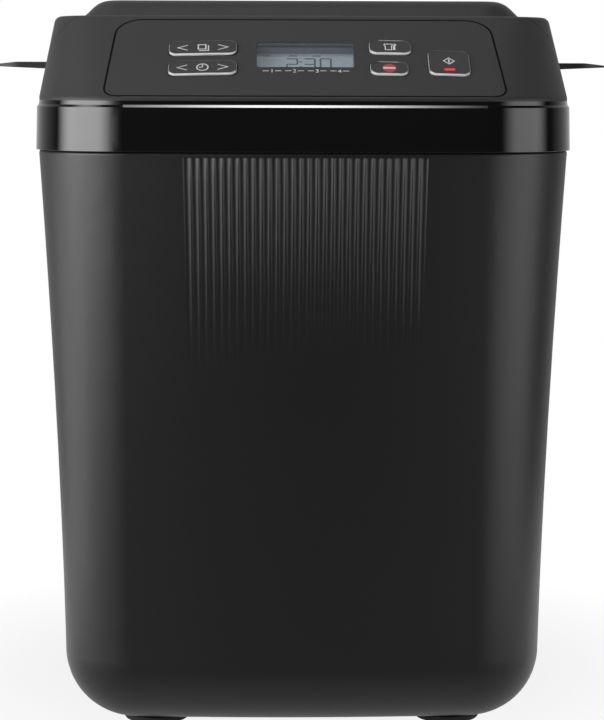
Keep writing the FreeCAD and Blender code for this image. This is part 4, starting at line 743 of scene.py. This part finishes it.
# World: white where it is seen, dim in front of the object and white behind it for the rest
room = {"front": 0.02, "back": 0.6, "between": (0.2, 0.9)}
world = bpy.data.worlds.new("studio_room")
scene.world = world
world.use_nodes = True
tree = world.node_tree
tree.nodes.clear()
path, direct = seenDirectly(tree)
coord = tree.nodes.new("ShaderNodeTexCoord")
split = tree.nodes.new("ShaderNodeSeparateXYZ")
tree.links.new(coord.outputs["Generated"], split.inputs["Vector"])
depth = span(tree, split.outputs["Y"], room["front"], room["back"], room["between"])
strength = tree.nodes.new("ShaderNodeMix")
tree.links.new(direct, strength.inputs["Factor"])
tree.links.new(depth, strength.inputs["A"])
strength.inputs["B"].default_value = 1.0
sky = tree.nodes.new("ShaderNodeBackground")
sky.inputs["Color"].default_value = (1, 1, 1, 1)
tree.links.new(strength.outputs["Result"], sky.inputs["Strength"])
out = tree.nodes.new("ShaderNodeOutputWorld")
tree.links.new(sky.outputs["Background"], out.inputs["Surface"])

lamps = {
    "overheadFront": {"place": (-0.002, -0.46, 1.35), "aim": (0.0, -0.12, 0.28), "size": (0.66, 0.3),
                      "power": 12.2, "edge": 1.0},
    "overheadLeft": {"place": (-0.75, -0.05, 1.32), "aim": (-0.08, -0.1, 0.28), "size": (0.9, 0.5),
                     "power": 4.2, "edge": 0.8},
    "leftBox": {"place": (-1.15, -0.74, 0.48), "aim": (-0.08, -0.1, 0.3), "size": (2.2, 1.0),
                "power": 45.0, "edge": 0.7},
    "leftLow": {"place": (-1.18, -0.06, -0.02), "aim": (-0.1, -0.1, 0.1), "size": (1.4, 0.46),
                "power": 4.2, "edge": 0.6},
    "rightBox": {"place": (1.22, -0.7, 0.48), "aim": (0.08, -0.1, 0.3), "size": (1.7, 1.0),
                 "power": 12.0, "edge": 0.7},
    "rightLow": {"place": (1.03, -0.74, -0.02), "aim": (0.08, -0.1, 0.1), "size": (2.0, 0.46),
                 "power": 4.8, "edge": 0.6},
    "topBox": {"place": (0.0, 0.4, 1.5), "aim": (0, 0.0, 0.3), "size": (1.4, 0.9), "power": 1.2, "edge": 0.6},
}


def softenLamp(light, edge):
    light.use_nodes = True  # a soft box: bright in the middle, fading towards its sides
    tree = light.node_tree
    where = tree.nodes.new("ShaderNodeNewGeometry")
    split = tree.nodes.new("ShaderNodeSeparateXYZ")
    tree.links.new(where.outputs["Parametric"], split.inputs["Vector"])
    fade = tree.nodes.new("ShaderNodeMath")
    fade.operation = "MULTIPLY"
    for i, axis in enumerate("XY"):
        middle = tree.nodes.new("ShaderNodeMath")
        middle.operation = "PINGPONG"
        middle.inputs[1].default_value = 0.5
        tree.links.new(split.outputs[axis], middle.inputs[0])
        rise = tree.nodes.new("ShaderNodeMapRange")
        rise.interpolation_type = "SMOOTHSTEP"
        rise.inputs["From Max"].default_value = edge / 2
        tree.links.new(middle.outputs["Value"], rise.inputs["Value"])
        tree.links.new(rise.outputs["Result"], fade.inputs[i])
    tree.links.new(fade.outputs["Value"], tree.nodes["Emission"].inputs["Strength"])


for name, lamp in lamps.items():
    light = bpy.data.lights.new(name, "AREA")
    light.shape = "RECTANGLE"
    light.size, light.size_y = lamp["size"]
    light.energy = lamp["power"]
    softenLamp(light, lamp["edge"])
    box = bpy.data.objects.new(name, light)
    box.location = lamp["place"]
    box.rotation_euler = (Vector(lamp["aim"]) - Vector(lamp["place"])).to_track_quat("-Z", "Y").to_euler()
    box.visible_camera = False
    scene.collection.objects.link(box)

view = {"place": (-0.022, -1.1525, 0.2944), "tilt": 6.86, "yaw": 1.18, "roll": 0.15, "lens": 115.35,
        "sensor": 36.0}
camera = bpy.data.cameras.new("studio_camera")
camera.lens = view["lens"]
camera.sensor_width = view["sensor"]
stand = bpy.data.objects.new("studio_camera", camera)
stand.location = view["place"]
turn = Matrix.Rotation(math.radians(-view["yaw"]), 4, "Z")
turn = turn @ Matrix.Rotation(math.radians(90 - view["tilt"]), 4, "X")
turn = turn @ Matrix.Rotation(math.radians(view["roll"]), 4, "Z")
stand.rotation_euler = turn.to_euler()
scene.collection.objects.link(stand)
scene.camera = stand
scene.view_settings.view_transform = "Standard"
print("stage set")
